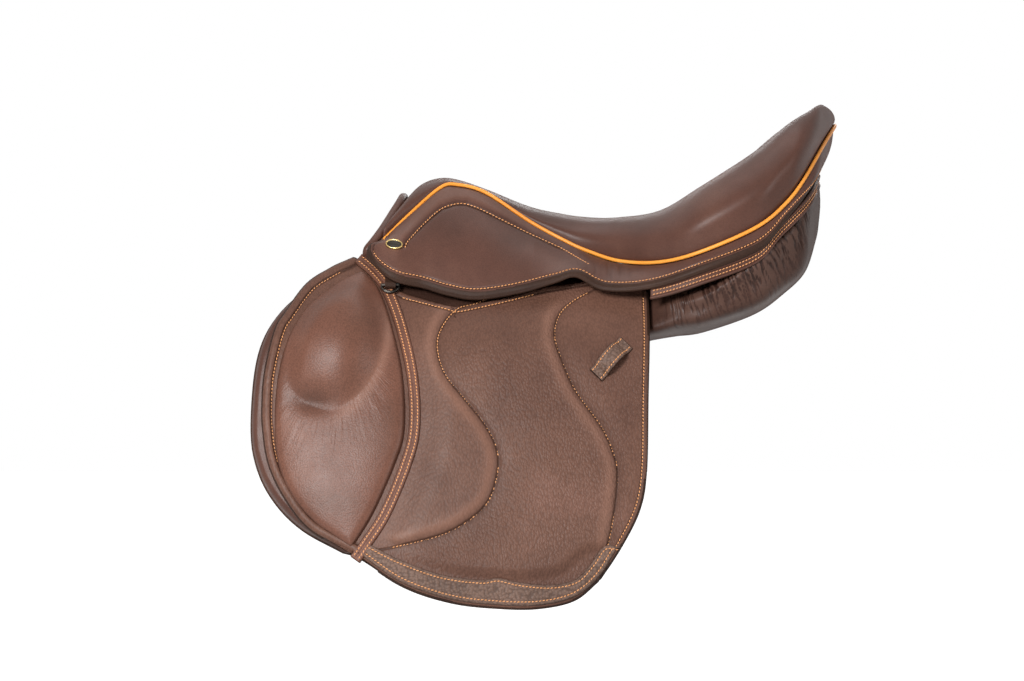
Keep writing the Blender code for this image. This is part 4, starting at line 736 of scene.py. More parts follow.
outlineSide = sideOf(skirtFlat[..., 0], skirtFlat[..., 2], outlineLong)
away = ease((0.052 - skirtFlat[..., 0]) / 0.018)
here = away * ease((skirtFlat[..., 2] - outline[0][1] + 0.001) / 0.004)
puff = skirt["roll"] * ease(outlineSide / 0.007) * ease((fromWelt - 0.001) / 0.0055)
puff = puff * away * ease((skirtFlat[..., 2] - outline[0][1] + 0.018) / 0.028) * ease((skirtU - 0.15) / 0.5)[:, None]
valley = skirt["groove"] * np.exp(-((outlineSide / skirt["grooveWide"]) ** 2)) * here
creaseField = spots(skirtFlat * (1.0, 0.0, 0.22), 1, 0.0042) + 0.5 * spots(skirtFlat * (1.0, 0.0, 0.3), 2, 0.002)
creaseHere = np.exp(-(((skirtFlat[..., 0] - 0.068) / 0.026) ** 2)) * ease((fromWelt - 0.002) / 0.006)
creaseHere = creaseHere * ease(fromEdge / 0.012)
wrinkle = -0.00075 * creaseHere * np.maximum(creaseField, 0.0)
drape = 0.0004 * spots(skirtFlat, 3, 0.035) * ease(fromEdge / 0.02) * ease(fromWelt / 0.02)
curl = np.clip((skirt["rolled"] - fromEdge) / skirt["rolled"], 0, 1)
curl = -0.5 * skirt["edgeThick"] * (1 - np.sqrt(np.maximum(1 - curl**2, 0.0)))
sewn = -0.0005 * np.exp(-(((fromEdge - skirt["stitchIn"]) / 0.0016) ** 2))
tucked = -0.0016 * ease((0.0034 - fromWelt) / 0.0034)
clear = 0.0078 * np.exp(-((skirtU / 1.1) ** 2))[:, None] * ease((skirtV - 0.25) / 0.35)[None]  # room for the lifted dee
skirtLift = puff - valley + wrinkle + drape + curl + sewn + tucked + clear
skirtSeam = np.where(np.abs(outlineSide) < np.abs(fromEdge - skirt["stitchIn"]), outlineSide, fromEdge - skirt["stitchIn"])
skirtSewn = ease((0.0055 - np.abs(skirtSeam)) / 0.001) * np.where(np.abs(outlineSide) < 0.0055, here, 1.0)
# painted light: the puffed roll lighter as a painted highlight, the outline groove and the wrinkles darker as painted
# shade
skirtPaintedLight = np.clip(0.25 * puff / skirt["roll"] - 0.5 * valley / skirt["groove"] + 900 * wrinkle, -1, 1)
skirtTop = skirtFlat + skirtOut[:, None] * skirtLift[..., None]
skirtThick = skirt["thick"] + (skirt["edgeThick"] - skirt["thick"]) * ease((0.02 - fromEdge) / 0.012)
skirtThick = skirtThick - 0.0016 * np.exp(-((skirtU / 0.95) ** 2))[:, None]
skirtUnder = skirtFlat - skirtOut[:, None] * (skirtThick - clear)[..., None]
# the front part of the edge row: where rays from a point inside the corner meet its distance from the edge
cornerSpot = np.array(fromPhoto([(404, 261)], 0.1)[0])
cornerGrid = skirtTop[:90].reshape(-1, 3)
cornerEdge = fromEdge[:90].ravel()
frontRow, frontUp = [], []
for turn in np.radians(np.linspace(133, 270, 36)):
    reach = np.arange(0.004, 0.045, 0.0003)
    ray = cornerSpot + reach[:, None] * np.array((math.cos(turn), math.sin(turn)))
    nearestAt = np.argmin((ray[:, None, 0] - cornerGrid[None, :, 0]) ** 2 + (ray[:, None, 1] - cornerGrid[None, :, 2]) ** 2, axis=1)
    first = int(np.argmax(cornerEdge[nearestAt] < skirt["stitchIn"]))
    frontRow.append((ray[first, 0], cornerGrid[nearestAt[first], 1], ray[first, 1]))
    frontUp.append(skirtOut[nearestAt[first] // skirtTop.shape[1]])
frontRow = np.array(frontRow)
for _ in range(3):
    frontRow[1:-1] = (frontRow[:-2] + 2 * frontRow[1:-1] + frontRow[2:]) / 4
rowStart = int(np.argmax(skirtTop[:, -12, 0] > frontRow[-1, 0] + 0.002))
foldTop = {"x": -0.06, "z": 0.0704, "slope": -0.146, "long": 0.014}
for name, side in sides.items():
    flip = np.array((1, side, 1))
    start = np.array((foldTop["x"], side * 0.1, foldTop["z"]))
    piece = shell("skirtLeather_" + name, skirtTop * flip, skirtUnder * flip, ("seat", "edge"), 0.5, 5,
                  fromEdge < skirt["dyed"], 1, {"seam": np.clip(skirtSeam / 0.006, -1, 1), "sewn": skirtSewn, "tone": skirtPaintedLight})
    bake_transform(piece)
    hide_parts("skirt_top_" + name, "skirt_" + name)
    row, rowUp = [tuple(p) for p in frontRow], [tuple(p) for p in frontUp]
    for i in range(rowStart, skirt["rows"]):  # and on along the lower edge
        share = np.interp(skirt["stitchIn"], fromEdge[i, 20:][::-1], skirtV[20:][::-1])
        row.append([np.interp(share, skirtV, skirtTop[i, :, c]) for c in range(3)])
        rowUp.append(skirtOut[i])
    stitchRow("skirt_" + name, (np.array(row) + np.array(rowUp) * 0.0003) * flip, np.array(rowUp) * flip)
    flatTop = skirtTop.reshape(-1, 3)
    lineTop, lineUp = [], []
    for spot in evenCurve(outline, 160):
        nearest = np.argmin((flatTop[:, 0] - spot[0]) ** 2 + (flatTop[:, 2] - spot[1]) ** 2)
        i, j = divmod(int(nearest), len(skirtV))
        lineTop.append((spot[0], flatTop[nearest, 1], spot[1]))
        lineUp.append(skirtOut[i])
    lineTop = np.array(lineTop)
    lineTop[:, 1] = np.convolve(np.pad(lineTop[:, 1], 4, "edge"), np.ones(9) / 9, "valid") + 0.0004
    stitchRow("skirt_" + name, lineTop * flip, np.array(lineUp) * flip)

# cantle back: closes the rear of the seat under the welt, from one skirt tip to the other
cantle = {"rows": 150, "columns": 44, "thick": 0.004, "fat": 0.0042}
cantleU = np.linspace(skirt["end"] + 0.004, lastStation, cantle["rows"])
cantleV = np.linspace(0, 1, cantle["columns"])
cantleFlat, cantleOut, cantleLong = gather(cantleU, cantleV)
swell = cantle["fat"] * np.sin(np.pi * cantleV)[None] * ease((cantleU - skirt["end"]) / 2)[:, None]
swell = swell - 0.0016 * ease((0.0034 - cantleV[None] * cantleLong[:, None]) / 0.0034)
cantleLow = (1 - cantleV)[None] * cantleLong[:, None]
cantleCurl = np.clip((skirt["rolled"] - cantleLow) / skirt["rolled"], 0, 1)
swell = swell - 0.5 * skirt["edgeThick"] * (1 - np.sqrt(np.maximum(1 - cantleCurl**2, 0.0)))
swell = swell - 0.0005 * np.exp(-(((cantleLow - skirt["stitchIn"]) / 0.0016) ** 2))
cantleTop = cantleFlat + cantleOut[:, None] * swell[..., None]
cantleUnder = cantleFlat - cantleOut[:, None] * (cantle["thick"] + 0.0015 * ease((0.02 - cantleLow) / 0.012))[..., None]
cantleRow = np.array([[np.interp(skirt["stitchIn"], low[::-1], top[::-1, c]) for c in range(3)] for low, top in zip(cantleLow, cantleTop)])
for side in sides.values():
    stitchRow("root", (cantleRow + cantleOut * 0.0003) * (1, side, 1), cantleOut * (1, side, 1))
cantleDark = np.concatenate((cantleLow, cantleLow[-2::-1])) < skirt["dyed"]
mirror = np.array((1, -1, 1))
cantleTop = np.concatenate((cantleTop * mirror, cantleTop[-2::-1]))
cantleUnder = np.concatenate((cantleUnder * mirror, cantleUnder[-2::-1]))
cantleBack = shell("cantleBack", cantleTop, cantleUnder, ("seat", "edge"), 0.5, 5, cantleDark)
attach(cantleBack, "root")
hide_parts("cantle_back")
print("skirts and cantle back made")


def curveAt(points, shares):  # points at given shares of a smooth curve's length
    fine = evenCurve(points, 400)
    wanted = np.asarray(shares) * 399
    return np.stack([np.interp(wanted, np.arange(400), fine[:, k]) for k in range(fine.shape[1])], axis=1)


def fitted(top, bottom, front, rear, us, vs):  # grid of (x, z) points inside four edges, at chosen shares across and down
    t, b, f, r = curveAt(top, us), curveAt(bottom, us), curveAt(front, vs), curveAt(rear, vs)
    u, v = np.asarray(us)[None, :, None], np.asarray(vs)[:, None, None]
    ruled = (1 - v) * t[None] + v * b[None] + (1 - u) * f[:, None] + u * r[:, None]
    corners = (1 - u) * ((1 - v) * t[0] + v * b[0]) + u * ((1 - v) * t[-1] + v * b[-1])
    return ruled - corners


def dense(low, high, middle, fineLow, fineHigh):  # shares from 0 to 1, closer together near the two ends
    return np.concatenate((np.linspace(0, low, fineLow), np.linspace(low, high, middle)[1:], np.linspace(high, 1, fineHigh)[1:]))


def padEdge(distance, wide):  # full height until near the seam, then a quick round fall into it
    share = np.clip(1 - distance / wide, 0, 1)
    return np.sqrt(np.maximum(1 - share**2, 0))


# flaps: one leather each, hung from the tree, padded in three fields that step down at two curved seams
flap = {"thick": 0.005, "pad": 0.005, "roll": 0.0115, "rise": 0.05, "bandRise": 0.034, "beadWide": 0.0082, "bead": 0.0028,
        "stitchFront": 0.0083, "stitchRear": 0.0042}
flapFront = [(-0.181, 0.0785), (-0.2004, 0.0691), foldFront, (-0.2415, 0.026), (-0.2501, 0.0099), (-0.2583, -0.0276),
             (-0.2605, -0.0555), (-0.2595, -0.0832), (-0.2533, -0.1155), (-0.2369, -0.1475), (-0.2134, -0.1748),
             (-0.1743, -0.1957)]
flapBottom = [(-0.1743, -0.1957), (-0.130, -0.2248), (-0.0839, -0.2402), (-0.038, -0.2456), (-0.0013, -0.2456),
              (0.0309, -0.2383), (0.0539, -0.2202)]
flapRear = [(0.1016, 0.047), foldRear, (0.0999, -0.0555), (0.098, -0.120), (0.0912, -0.1565), (0.0725, -0.1929),
            (0.0539, -0.2202)]
flapTopEdge = [(-0.181, 0.0785), (-0.150, 0.066), (-0.10, 0.0635), (0.0, 0.060), (0.06, 0.055), (0.1016, 0.047)]
frontSeam = fromPhoto([(505, 270), (492, 292), (478, 300), (455, 310), (440, 330), (437, 350), (445, 375), (465, 400),
                       (485, 425), (497, 450), (497, 475), (485, 505), (450, 530), (400, 544), (355, 552)], 0.17)
rearSeam = fromPhoto([(620, 270), (600, 286), (575, 300), (560, 315), (555, 335), (560, 355), (575, 390), (600, 425),
                      (612, 450), (617, 475), (612, 520), (603, 560), (596, 590)], 0.17)
hollowLine = fromPhoto([(372, 262), (385, 282), (402, 293), (420, 299), (438, 305), (455, 308), (478, 304), (510, 297),
                        (545, 288), (590, 280)], 0.115)
bandLine = fromPhoto([(355, 257), (372, 272), (386, 291), (401, 330), (412.5, 380), (414.5, 430), (405, 468),
                      (386, 513), (368, 541), (357, 557)], 0.165)
lines = {"front": evenCurve(frontSeam, 90), "band": evenCurve(bandLine, 70), "rear": evenCurve(rearSeam, 90), "hollow": evenCurve(hollowLine, 60),
         "frontEdge": evenCurve(flapFront, 90), "bottomEdge": evenCurve(flapBottom, 70), "rearEdge": evenCurve(flapRear, 70)}


def flapRelief(x, z):  # height, painted light and shade, distance to the nearest sewn line and how far that line counts, at (x, z)
    dFront, dRear = sideOf(x, z, lines["front"]), sideOf(x, z, lines["rear"])
    dHollow = sideOf(x, z, lines["hollow"])
    edges = [np.abs(sideOf(x, z, lines[key])) for key in ("frontEdge", "bottomEdge", "rearEdge")]
    dBand = sideOf(x, z, lines["band"])
    under = ease((0.05 - z) / 0.03)
    nearStrip = ease((edges[1] - 0.024) / 0.012)
    first = np.where(dFront < 0, padEdge(-dFront, flap["roll"]), 0.0) * ease((dBand - 0.003) / flap["bandRise"])
    second = np.where((dFront >= 0) & (dRear < 0), ease(dFront / flap["rise"]) ** 0.7 * padEdge(-dRear, flap["roll"]), 0.0)
    third = np.where(dRear >= 0, 0.2 * ease(dRear / 0.02), 0.0)
    lift = flap["pad"] * (first + second + third) * under * nearStrip
    share = np.clip(np.abs(edges[0] - flap["beadWide"] / 2) / (flap["beadWide"] / 2), 0, 1)
    bead = np.where(edges[0] < flap["beadWide"], np.sqrt(np.maximum(1 - share**2, 0)), 0.0)
    lift = np.where(edges[0] < 0.02, lift * ease((edges[0] - flap["beadWide"]) / 0.01), lift)
    lift = lift + flap["bead"] * bead
    for distance, soft in ((edges[1], 0.003), (edges[2], 0.003)):
        curl = np.clip((soft - distance) / soft, 0, 1)
        lift = lift - 0.0022 * (1 - np.sqrt(np.maximum(1 - curl**2, 0.0)))
    hollow = ease(dHollow / 0.0025) * (z > -0.02)
    lift = lift * (1 - hollow) - 0.0032 * hollow
    sewnLines = (dFront, dRear, edges[0] - flap["stitchFront"], edges[2] - flap["stitchRear"], dHollow + 0.004)
    table = np.stack([np.abs(d) for d in sewnLines])
    pick = np.argmin(table, axis=0)
    nearest = np.take_along_axis(np.stack(sewnLines), pick[None], axis=0)[0]
    sewn = ease((0.0052 - np.abs(nearest)) / 0.001) * (1 - hollow)
    # painted light: a painted highlight along each pad's rounded edge, painted shade just past each seam, and the
    # recess under the skirt painted dark as the skirt's shadow
    ridge = (first > 0) * np.exp(-(((dFront + 0.0075) / 0.005) ** 2)) + (second > 0) * np.exp(-(((dRear + 0.0075) / 0.005) ** 2))
    tone = 0.30 * ridge * under * nearStrip - hollow
    tone = tone - 0.25 * np.exp(-((np.maximum(dFront, 0) / 0.006) ** 2)) * (dFront > 0) * under * (1 - hollow)
    tone = tone - 0.25 * np.exp(-((np.maximum(dRear, 0) / 0.006) ** 2)) * (dRear > 0) * under * (1 - hollow)
    grained = ((dFront >= 0) & (dRear < 0)) * ease(dFront / 0.02) * (1 - hollow) + 0.35 * (dRear >= 0)
    return lift, tone, nearest, sewn, grained


flapShares = dense(0.05, 0.965, 165, 18, 9), dense(0.03, 0.975, 165, 6, 8)
flapGrid = fitted(flapTopEdge, flapBottom, flapFront, flapRear, *flapShares)
flapX, flapZ = flapGrid[..., 0], flapGrid[..., 1]
flapLift, flapPaintedLight, flapSeam, flapSewn, flapGrained = flapRelief(flapX, flapZ)
flapBase, flapUp = flapSurface(flapGrid, np.zeros_like(flapX))
flapLift = flapLift + 0.0005 * spots(flapBase, 5, 0.05)
flapTop = flapBase + flapUp * flapLift[..., None]
flapUnder = flapBase - flapUp * flap["thick"]
flapEdge = np.minimum(np.abs(sideOf(flapX, flapZ, lines["bottomEdge"])), np.abs(sideOf(flapX, flapZ, lines["rearEdge"])))


def bendWithFlap(piece):
    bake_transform(piece)


def onFlap(line, lift=0.0):  # (x, z) line to 3-D points on the finished flap face, with the normals there
    line = np.asarray(line, float)[None]
    height = flapRelief(line[..., 0], line[..., 1])[0]
    points, up = flapSurface(line, height + lift)
    return points[0], up[0]


def inset(line, distance, sign=1.0):  # a line moved sideways in its own plane
    line = np.asarray(line, float)
    ahead = unit(np.gradient(line, axis=0))
    return line + np.stack((-ahead[:, 1], ahead[:, 0]), axis=1) * distance * sign


flapRows = []
for key in ("front", "rear"):
    row = evenCurve(lines[key], 320)
    flapRows.append([p for p in row if p[1] < 0.045 and np.min(np.hypot(*(lines["bottomEdge"] - p).T)) > 0.0255])
flapRows.append(inset(evenCurve(flapFront, 300), flap["stitchFront"], 1.0)[14:-10])
flapRows.append([p for p in inset(evenCurve(flapRear, 300), flap["stitchRear"], -1.0)
                 if p[1] < 0.04 and np.min(np.hypot(*(lines["bottomEdge"] - p).T)) > 0.024])
flapRows.append(inset(evenCurve(hollowLine, 200), 0.004, -1.0)[40:150])
for name, side in sides.items():
    flip = np.array((1, side, 1))
    piece = shell("flapLeather_" + name, flapTop * flip, flapUnder * flip, ("flap", "edge"), 0.7, 5, flapEdge < 0.0014, 1,
                  {"seam": np.clip(flapSeam / 0.006, -1, 1), "sewn": flapSewn, "tone": flapPaintedLight, "grained": flapGrained})
    bendWithFlap(piece)
    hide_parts("flap_" + name, "flap_head_" + name)
    for row in flapRows:
        points, up = onFlap(row, 0.0003)
        stitchRow("flap_" + name, points * flip, up * flip)
print("flaps made")

# knee blocks: stuffed pillows with a full upper bulb, a hollow under it and a flatter lower pad
block = {"rim": 0.0012, "pad": 0.0085, "bulb": 0.0155, "edge": 0.009, "crown": 0.05, "hollow": 0.0035, "wrinkle": 0.00022}
blockFront = fromPhoto([(357, 268), (340, 276), (320, 290), (299, 309.5), (283, 339), (274, 376), (271, 420),
                        (275, 464), (290, 498), (313, 524), (336, 539.5), (351.5, 549.5)], 0.2)
blockRear = fromPhoto([(358, 267.5), (367, 275), (378, 290), (391, 325), (403, 375), (405.5, 430), (396, 465),
                       (377, 509), (362, 535), (351.5, 550)], 0.17)
blockTopEdge = (blockFront[0], blockRear[0])
blockLow = (blockFront[-1], blockRear[-1])
blockGrid = fitted(blockTopEdge, blockLow, blockFront, blockRear, dense(0.08, 0.92, 84, 10, 10), dense(0.03, 0.97, 190, 8, 8))
blockX, blockZ = blockGrid[..., 0], blockGrid[..., 1]
frontLine, rearLine = evenCurve(blockFront, 80), evenCurve(blockRear, 80)
dBlock = np.minimum(np.abs(sideOf(blockX, blockZ, frontLine)), np.abs(sideOf(blockX, blockZ, rearLine)))
dFrontSide, dRearSide = np.abs(sideOf(blockX, blockZ, frontLine)), np.abs(sideOf(blockX, blockZ, rearLine))
dSoft = 1.4 * dFrontSide * dRearSide / np.sqrt(dFrontSide**2 + dRearSide**2 + 1e-9)  # as dBlock, without its ridge
bulbCentre = fromPhoto([(338, 343)], 0.2)[0]
offX, offZ = blockX - bulbCentre[0], blockZ - bulbCentre[1]
turnBack = math.radians(14)
alongX = offX * math.cos(turnBack) - offZ * math.sin(turnBack)
alongZ = offX * math.sin(turnBack) + offZ * math.cos(turnBack)
reachX = 0.0505 - 0.0095 * np.tanh(alongX / 0.016)
reachZ = 0.0705 + 0.0045 * np.tanh(alongZ / 0.02)
bulbFar = np.sqrt((alongX / reachX) ** 2 + (alongZ / reachZ) ** 2)
bulb = np.maximum(1 - bulbFar**2, 0) ** 1.25
hollowSpot = fromPhoto([(312, 404)], 0.2)[0]
hollowHere = np.exp(-(((blockX - hollowSpot[0]) / 0.02) ** 2) - (((blockZ - hollowSpot[1]) / 0.011) ** 2))
edgeRound = 0.45 * padEdge(dBlock, block["edge"]) + 0.55 * padEdge(dSoft, block["crown"]) ** 1.4
upperFade = ease((0.072 - blockZ) / 0.045)
lowerFade = 0.75 + 0.25 * ease((blockZ + 0.19) / 0.08)
turnHere = np.arctan2(offZ, offX)
flow = np.stack((turnHere * 17, bulbFar * 1.1, np.zeros_like(turnHere)), axis=-1)
wrinkledHere = ease((bulbFar - 0.72) / 0.3) * ease((1.95 - bulbFar) / 0.7) * ease((0.02 - offZ - 0.4 * offX) / 0.03 + 0.8)
flowField = np.array([noise.noise(Vector(p)) for p in (flow * (1.35, 1.6, 1)).reshape(-1, 3)]).reshape(blockX.shape)
blockLift = block["rim"] + block["pad"] * edgeRound * (0.35 + 0.65 * upperFade) * lowerFade
blockLift = blockLift + block["bulb"] * bulb * ease(dSoft / 0.034) - block["hollow"] * hollowHere
blockLift = blockLift + block["wrinkle"] * flowField * wrinkledHere * ease(dBlock / 0.008)
blockLift = blockLift - (block["rim"] + 0.002) * ease((0.0025 - dBlock) / 0.0025)
blockTop, _ = flapSurface(blockGrid, blockLift)
blockUnder, _ = flapSurface(blockGrid, np.full_like(blockX, -0.0022))
# painted light: a painted highlight ring along the bulb's foot, painted shade in the hollow under the bulb and along
# the block's edge
blockPaintedLight = 0.35 * np.exp(-(((bulbFar - 1.06) / 0.13) ** 2)) * ease(alongX / 0.03) - 0.55 * hollowHere
blockPaintedLight = blockPaintedLight - 0.5 * ease((0.005 - dBlock) / 0.005)
for name, side in sides.items():
    flip = np.array((1, side, 1))
    piece = shell("kneeBlock_" + name, blockTop * flip, blockUnder * flip, ("block", "block"), 0.2, 3, values={
        "tone": np.clip(blockPaintedLight, -1, 1), "wrinkled": wrinkledHere, "flowA": flow[..., 0], "flowB": flow[..., 1]})
    bendWithFlap(piece)
    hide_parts("knee_block_" + name)

# band behind the block: a folded strip with two rows of stitches and a groove between them
band = {"wide": 0.0105, "thick": 0.0022, "rows": 0.0052}
bandShares = np.linspace(-1, 1, 17)
bandGrid = ribbon(bandLine, band["wide"], 260, len(bandShares))
half = band["wide"] / 2
fromMiddle = np.abs(bandShares) * half
bandHigh = band["thick"] * np.sqrt(np.maximum(1 - np.clip((fromMiddle - half + 0.0018) / 0.0018, 0, 1) ** 2, 0))
bandHigh = bandHigh - 0.0009 * np.exp(-((fromMiddle / 0.0011) ** 2)) - 0.0006 * np.exp(-(((fromMiddle - band["rows"] / 2) / 0.0006) ** 2))
bandTop, bandUp = flapSurface(bandGrid, np.broadcast_to(0.0008 + bandHigh, bandGrid.shape[:2]))
bandUnder, _ = flapSurface(bandGrid, np.full(bandGrid.shape[:2], -0.002))
for name, side in sides.items():
    flip = np.array((1, side, 1))
    piece = shell("flapBand_" + name, bandTop * flip, bandUnder * flip, ("block", "edge"), 0.2, 3)
    bendWithFlap(piece)
    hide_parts("flap_band_" + name)
    for sign in (-1, 1):
        share = sign * band["rows"] / band["wide"]
        k = int(round((share + 1) / 2 * (len(bandShares) - 1)))
        stitchRow("flap_" + name, (bandTop[3:-3, k] + bandUp[3:-3, k] * 0.0003) * flip, bandUp[3:-3, k] * flip)

# wear strip along the flap's bottom: pebbled leather, sewn along both edges
strip = {"thick": 0.0022, "stitchIn": 0.0032}
stripTop = fromPhoto([(368, 544), (399, 559.5), (440, 574), (480, 579.5), (498, 577.5), (520, 582), (550, 584.5),
                      (575, 579.5), (590, 565), (604, 547), (621, 547.5)], 0.205)
stripLow = [(-0.1655, -0.1985), (-0.129, -0.2224), (-0.0837, -0.2377), (-0.038, -0.2431), (-0.0013, -0.2431),
            (0.030, -0.2358), (0.0522, -0.2184), (0.0695, -0.1925)]
stripGrid = fitted(stripTop, stripLow, (stripTop[0], stripLow[0]), (stripTop[-1], stripLow[-1]),
                   np.linspace(0, 1, 280), dense(0.16, 0.84, 14, 6, 6))
stripX, stripZ = stripGrid[..., 0], stripGrid[..., 1]
dStrip = np.minimum(np.abs(sideOf(stripX, stripZ, evenCurve(stripTop, 120))), np.abs(sideOf(stripX, stripZ, evenCurve(stripLow, 120))))
dEnds = np.minimum(np.abs(sideOf(stripX, stripZ, (stripTop[0], stripLow[0]))), np.abs(sideOf(stripX, stripZ, (stripTop[-1], stripLow[-1]))))
stripHigh = 0.0006 + strip["thick"] * padEdge(np.minimum(dStrip, dEnds), 0.0016)
stripHigh = stripHigh - 0.0007 * np.exp(-(((dStrip - strip["stitchIn"]) / 0.001) ** 2))
stripFace, _ = flapSurface(stripGrid, stripHigh)
stripUnder, _ = flapSurface(stripGrid, np.full_like(stripX, -0.002))
stripRows = []
for edgeLine, sign in ((evenCurve(stripTop, 300), -1.0), (evenCurve(stripLow, 300), 1.0)):
    stripRows.append(inset(edgeLine, strip["stitchIn"], sign)[4:-4])
stripRows.append(np.linspace(stripRows[0][0], stripRows[1][0], 20))
for name, side in sides.items():
    flip = np.array((1, side, 1))
    piece = shell("wearStrip_" + name, stripFace * flip, stripUnder * flip, ("pebble", "edge"), 0.2, 3)
    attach(piece, "flap_" + name)
    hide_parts("wear_strip_" + name)
    for row in stripRows:
        points, up = flapSurface(np.asarray(row)[None], np.full((1, len(row)), 0.0006 + strip["thick"] - 0.0004))
        stitchRow("flap_" + name, points[0] * flip, up[0] * flip)

# keeper: a leather arch that holds the end of the stirrup leather
keeper = {"long": 0.041, "wide": 0.0155, "thick": 0.0032, "rise": 0.0078, "foot": 0.0062, "x": 0.0659, "z": -0.0183}
keeperWay = unit(np.array((0.69, 0.724)))
keeperSpots = np.linspace(-1, 1, 61)
keeperReach = keeper["long"] / 2 * keeperSpots
arch = np.clip(1 - (np.abs(keeperReach) / (keeper["long"] / 2 - keeper["foot"])) ** 2, 0, 1) ** 0.6
keeperAcross = np.concatenate((np.linspace(-1, -0.85, 5), np.linspace(-0.85, 0.85, 12)[1:], np.linspace(0.85, 1, 5)[1:])) * keeper["wide"] / 2
keeperGrid = np.array([[(keeper["x"] + keeperWay[0] * a + keeperWay[1] * c, keeper["z"] + keeperWay[1] * a - keeperWay[0] * c)
                        for c in keeperAcross] for a in keeperReach])
edgeIn = keeper["wide"] / 2 - np.abs(keeperAcross)
keeperEdge = padEdge(edgeIn, 0.0012)[None] - 0.25 * np.exp(-(((edgeIn - 0.0026) / 0.0008) ** 2))[None]
keeperLow = 0.0007 + keeper["rise"] * arch[:, None] + np.zeros((1, len(keeperAcross)))
keeperHigh = keeperLow + keeper["thick"] * (0.55 + 0.45 * keeperEdge)
keeperTop, keeperUp = flapSurface(keeperGrid, keeperHigh)
keeperUnder, _ = flapSurface(keeperGrid, keeperLow)
for name, side in sides.items():
    flip = np.array((1, side, 1))
    piece = shell("keeperLoop_" + name, keeperTop * flip, keeperUnder * flip, ("pebble", "edge"), 0.5, 4)
    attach(piece, "flap_" + name)
    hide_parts("keeper_" + name)
    for c in (0.0026, keeper["wide"] - 0.0026):
        k = int(np.argmin(np.abs(keeperAcross + keeper["wide"] / 2 - c)))
        stitchRow("flap_" + name, (keeperTop[2:-2, k] + keeperUp[2:-2, k] * 0.0003) * flip, keeperUp[2:-2, k] * flip)
print("blocks, bands, strips and keepers made")

# sweat flaps: smooth lining leather under the flaps, with a rolled front block that shows as a second bead
sweat = {"depth": 0.017, "thick": 0.0045, "roll": 0.0075, "top": 0.0066, "blockWide": 0.032}
sweatFront = [(-0.163, 0.0925), (-0.193, 0.0725), (-0.2315, 0.0525), (-0.2565, 0.022), (-0.2692, -0.020), (-0.2745, -0.083), (-0.2675, -0.118),
              (-0.250, -0.148), (-0.224, -0.172), (-0.186, -0.192)]
sweatLow = [(-0.186, -0.192), (-0.120, -0.207), (-0.040, -0.216), (0.025, -0.207), (0.058, -0.188)]
sweatRear = [(0.070, 0.040), (0.074, -0.040), (0.071, -0.120), (0.058, -0.188)]
sweatTop = [sweatFront[0], (-0.145, 0.078), (-0.12, 0.058), (-0.02, 0.046), sweatRear[0]]
sweatGrid = fitted(sweatTop, sweatLow, sweatFront, sweatRear, dense(0.04, 0.96, 50, 8, 8), dense(0.04, 0.96, 50, 6, 6))
sweatFace, _ = flapSurface(sweatGrid, np.full(sweatGrid.shape[:2], -sweat["depth"]))
sweatUnder, _ = flapSurface(sweatGrid, np.full(sweatGrid.shape[:2], -sweat["depth"] - sweat["thick"]))
rollFront = [(x + 0.001, z) for x, z in sweatFront[2:]]
rollRear = [(x + sweat["blockWide"], z - 0.004) for x, z in sweatFront[2:]]
rollGrid = fitted((rollFront[0], rollRear[0]), (rollFront[-1], rollRear[-1]), rollFront, rollRear,
                  np.linspace(0, 1, 44), dense(0.04, 0.96, 130, 8, 8))
dRoll = np.abs(sideOf(rollGrid[..., 0], rollGrid[..., 1], evenCurve(rollFront, 90)))
dRollEnd = np.linalg.norm(rollGrid - rollGrid[-1:], axis=-1)
rollHigh = -sweat["depth"] + 0.0006 + (sweat["depth"] - sweat["top"]) * padEdge(dRoll, sweat["roll"])
rollHigh = rollHigh * (0.35 + 0.65 * ease(dRollEnd / 0.05)) - sweat["depth"] * 0.65 * (1 - ease(dRollEnd / 0.05))
rollFace, _ = flapSurface(rollGrid, rollHigh)
rollUnder, _ = flapSurface(rollGrid, np.full(rollGrid.shape[:2], -sweat["depth"] - 0.001))
for name, side in sides.items():
    flip = np.array((1, side, 1))
    piece = shell("sweatFlap_" + name, sweatFace * flip, sweatUnder * flip, ("lining", "edge"), 0.6)
    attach(piece, "root")
    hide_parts("sweat_flap_" + name)
    piece = shell("frontBlock_" + name, rollFace * flip, rollUnder * flip, ("seat", "seat"), 0.4)
    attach(piece, "root")
    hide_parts("front_block_" + name)

# front facing: a slender roll round the front of the head
facing = {"across": 0.0040, "high": 0.0045}
facingLine = [(-0.1335, 0.0, 0.1405), (-0.1362, 0.025, 0.134), (-0.1442, 0.046, 0.1195), (-0.1515, 0.065, 0.1065),
              (-0.1585, 0.077, 0.096), (-0.1650, 0.0835, 0.0865), (-0.1655, 0.0765, 0.0775)]
facingPath = evenCurve([(x, -y, z) for x, y, z in facingLine[::-1]] + facingLine[1:], 160)
frontFacing = roll("frontFacing", facingPath, facing["across"], facing["high"], ("seat",), (1.0, 0.0, 0.4), 20)
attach(frontFacing, "root")
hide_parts("front_facing")

gusset = {"wide": 0.012, "thick": 0.0025, "inset": 0.0055, "rows": 0.0036, "bead": 0.0018, "beadWide": 0.0028, "count": 170,
          "start": 9.05}

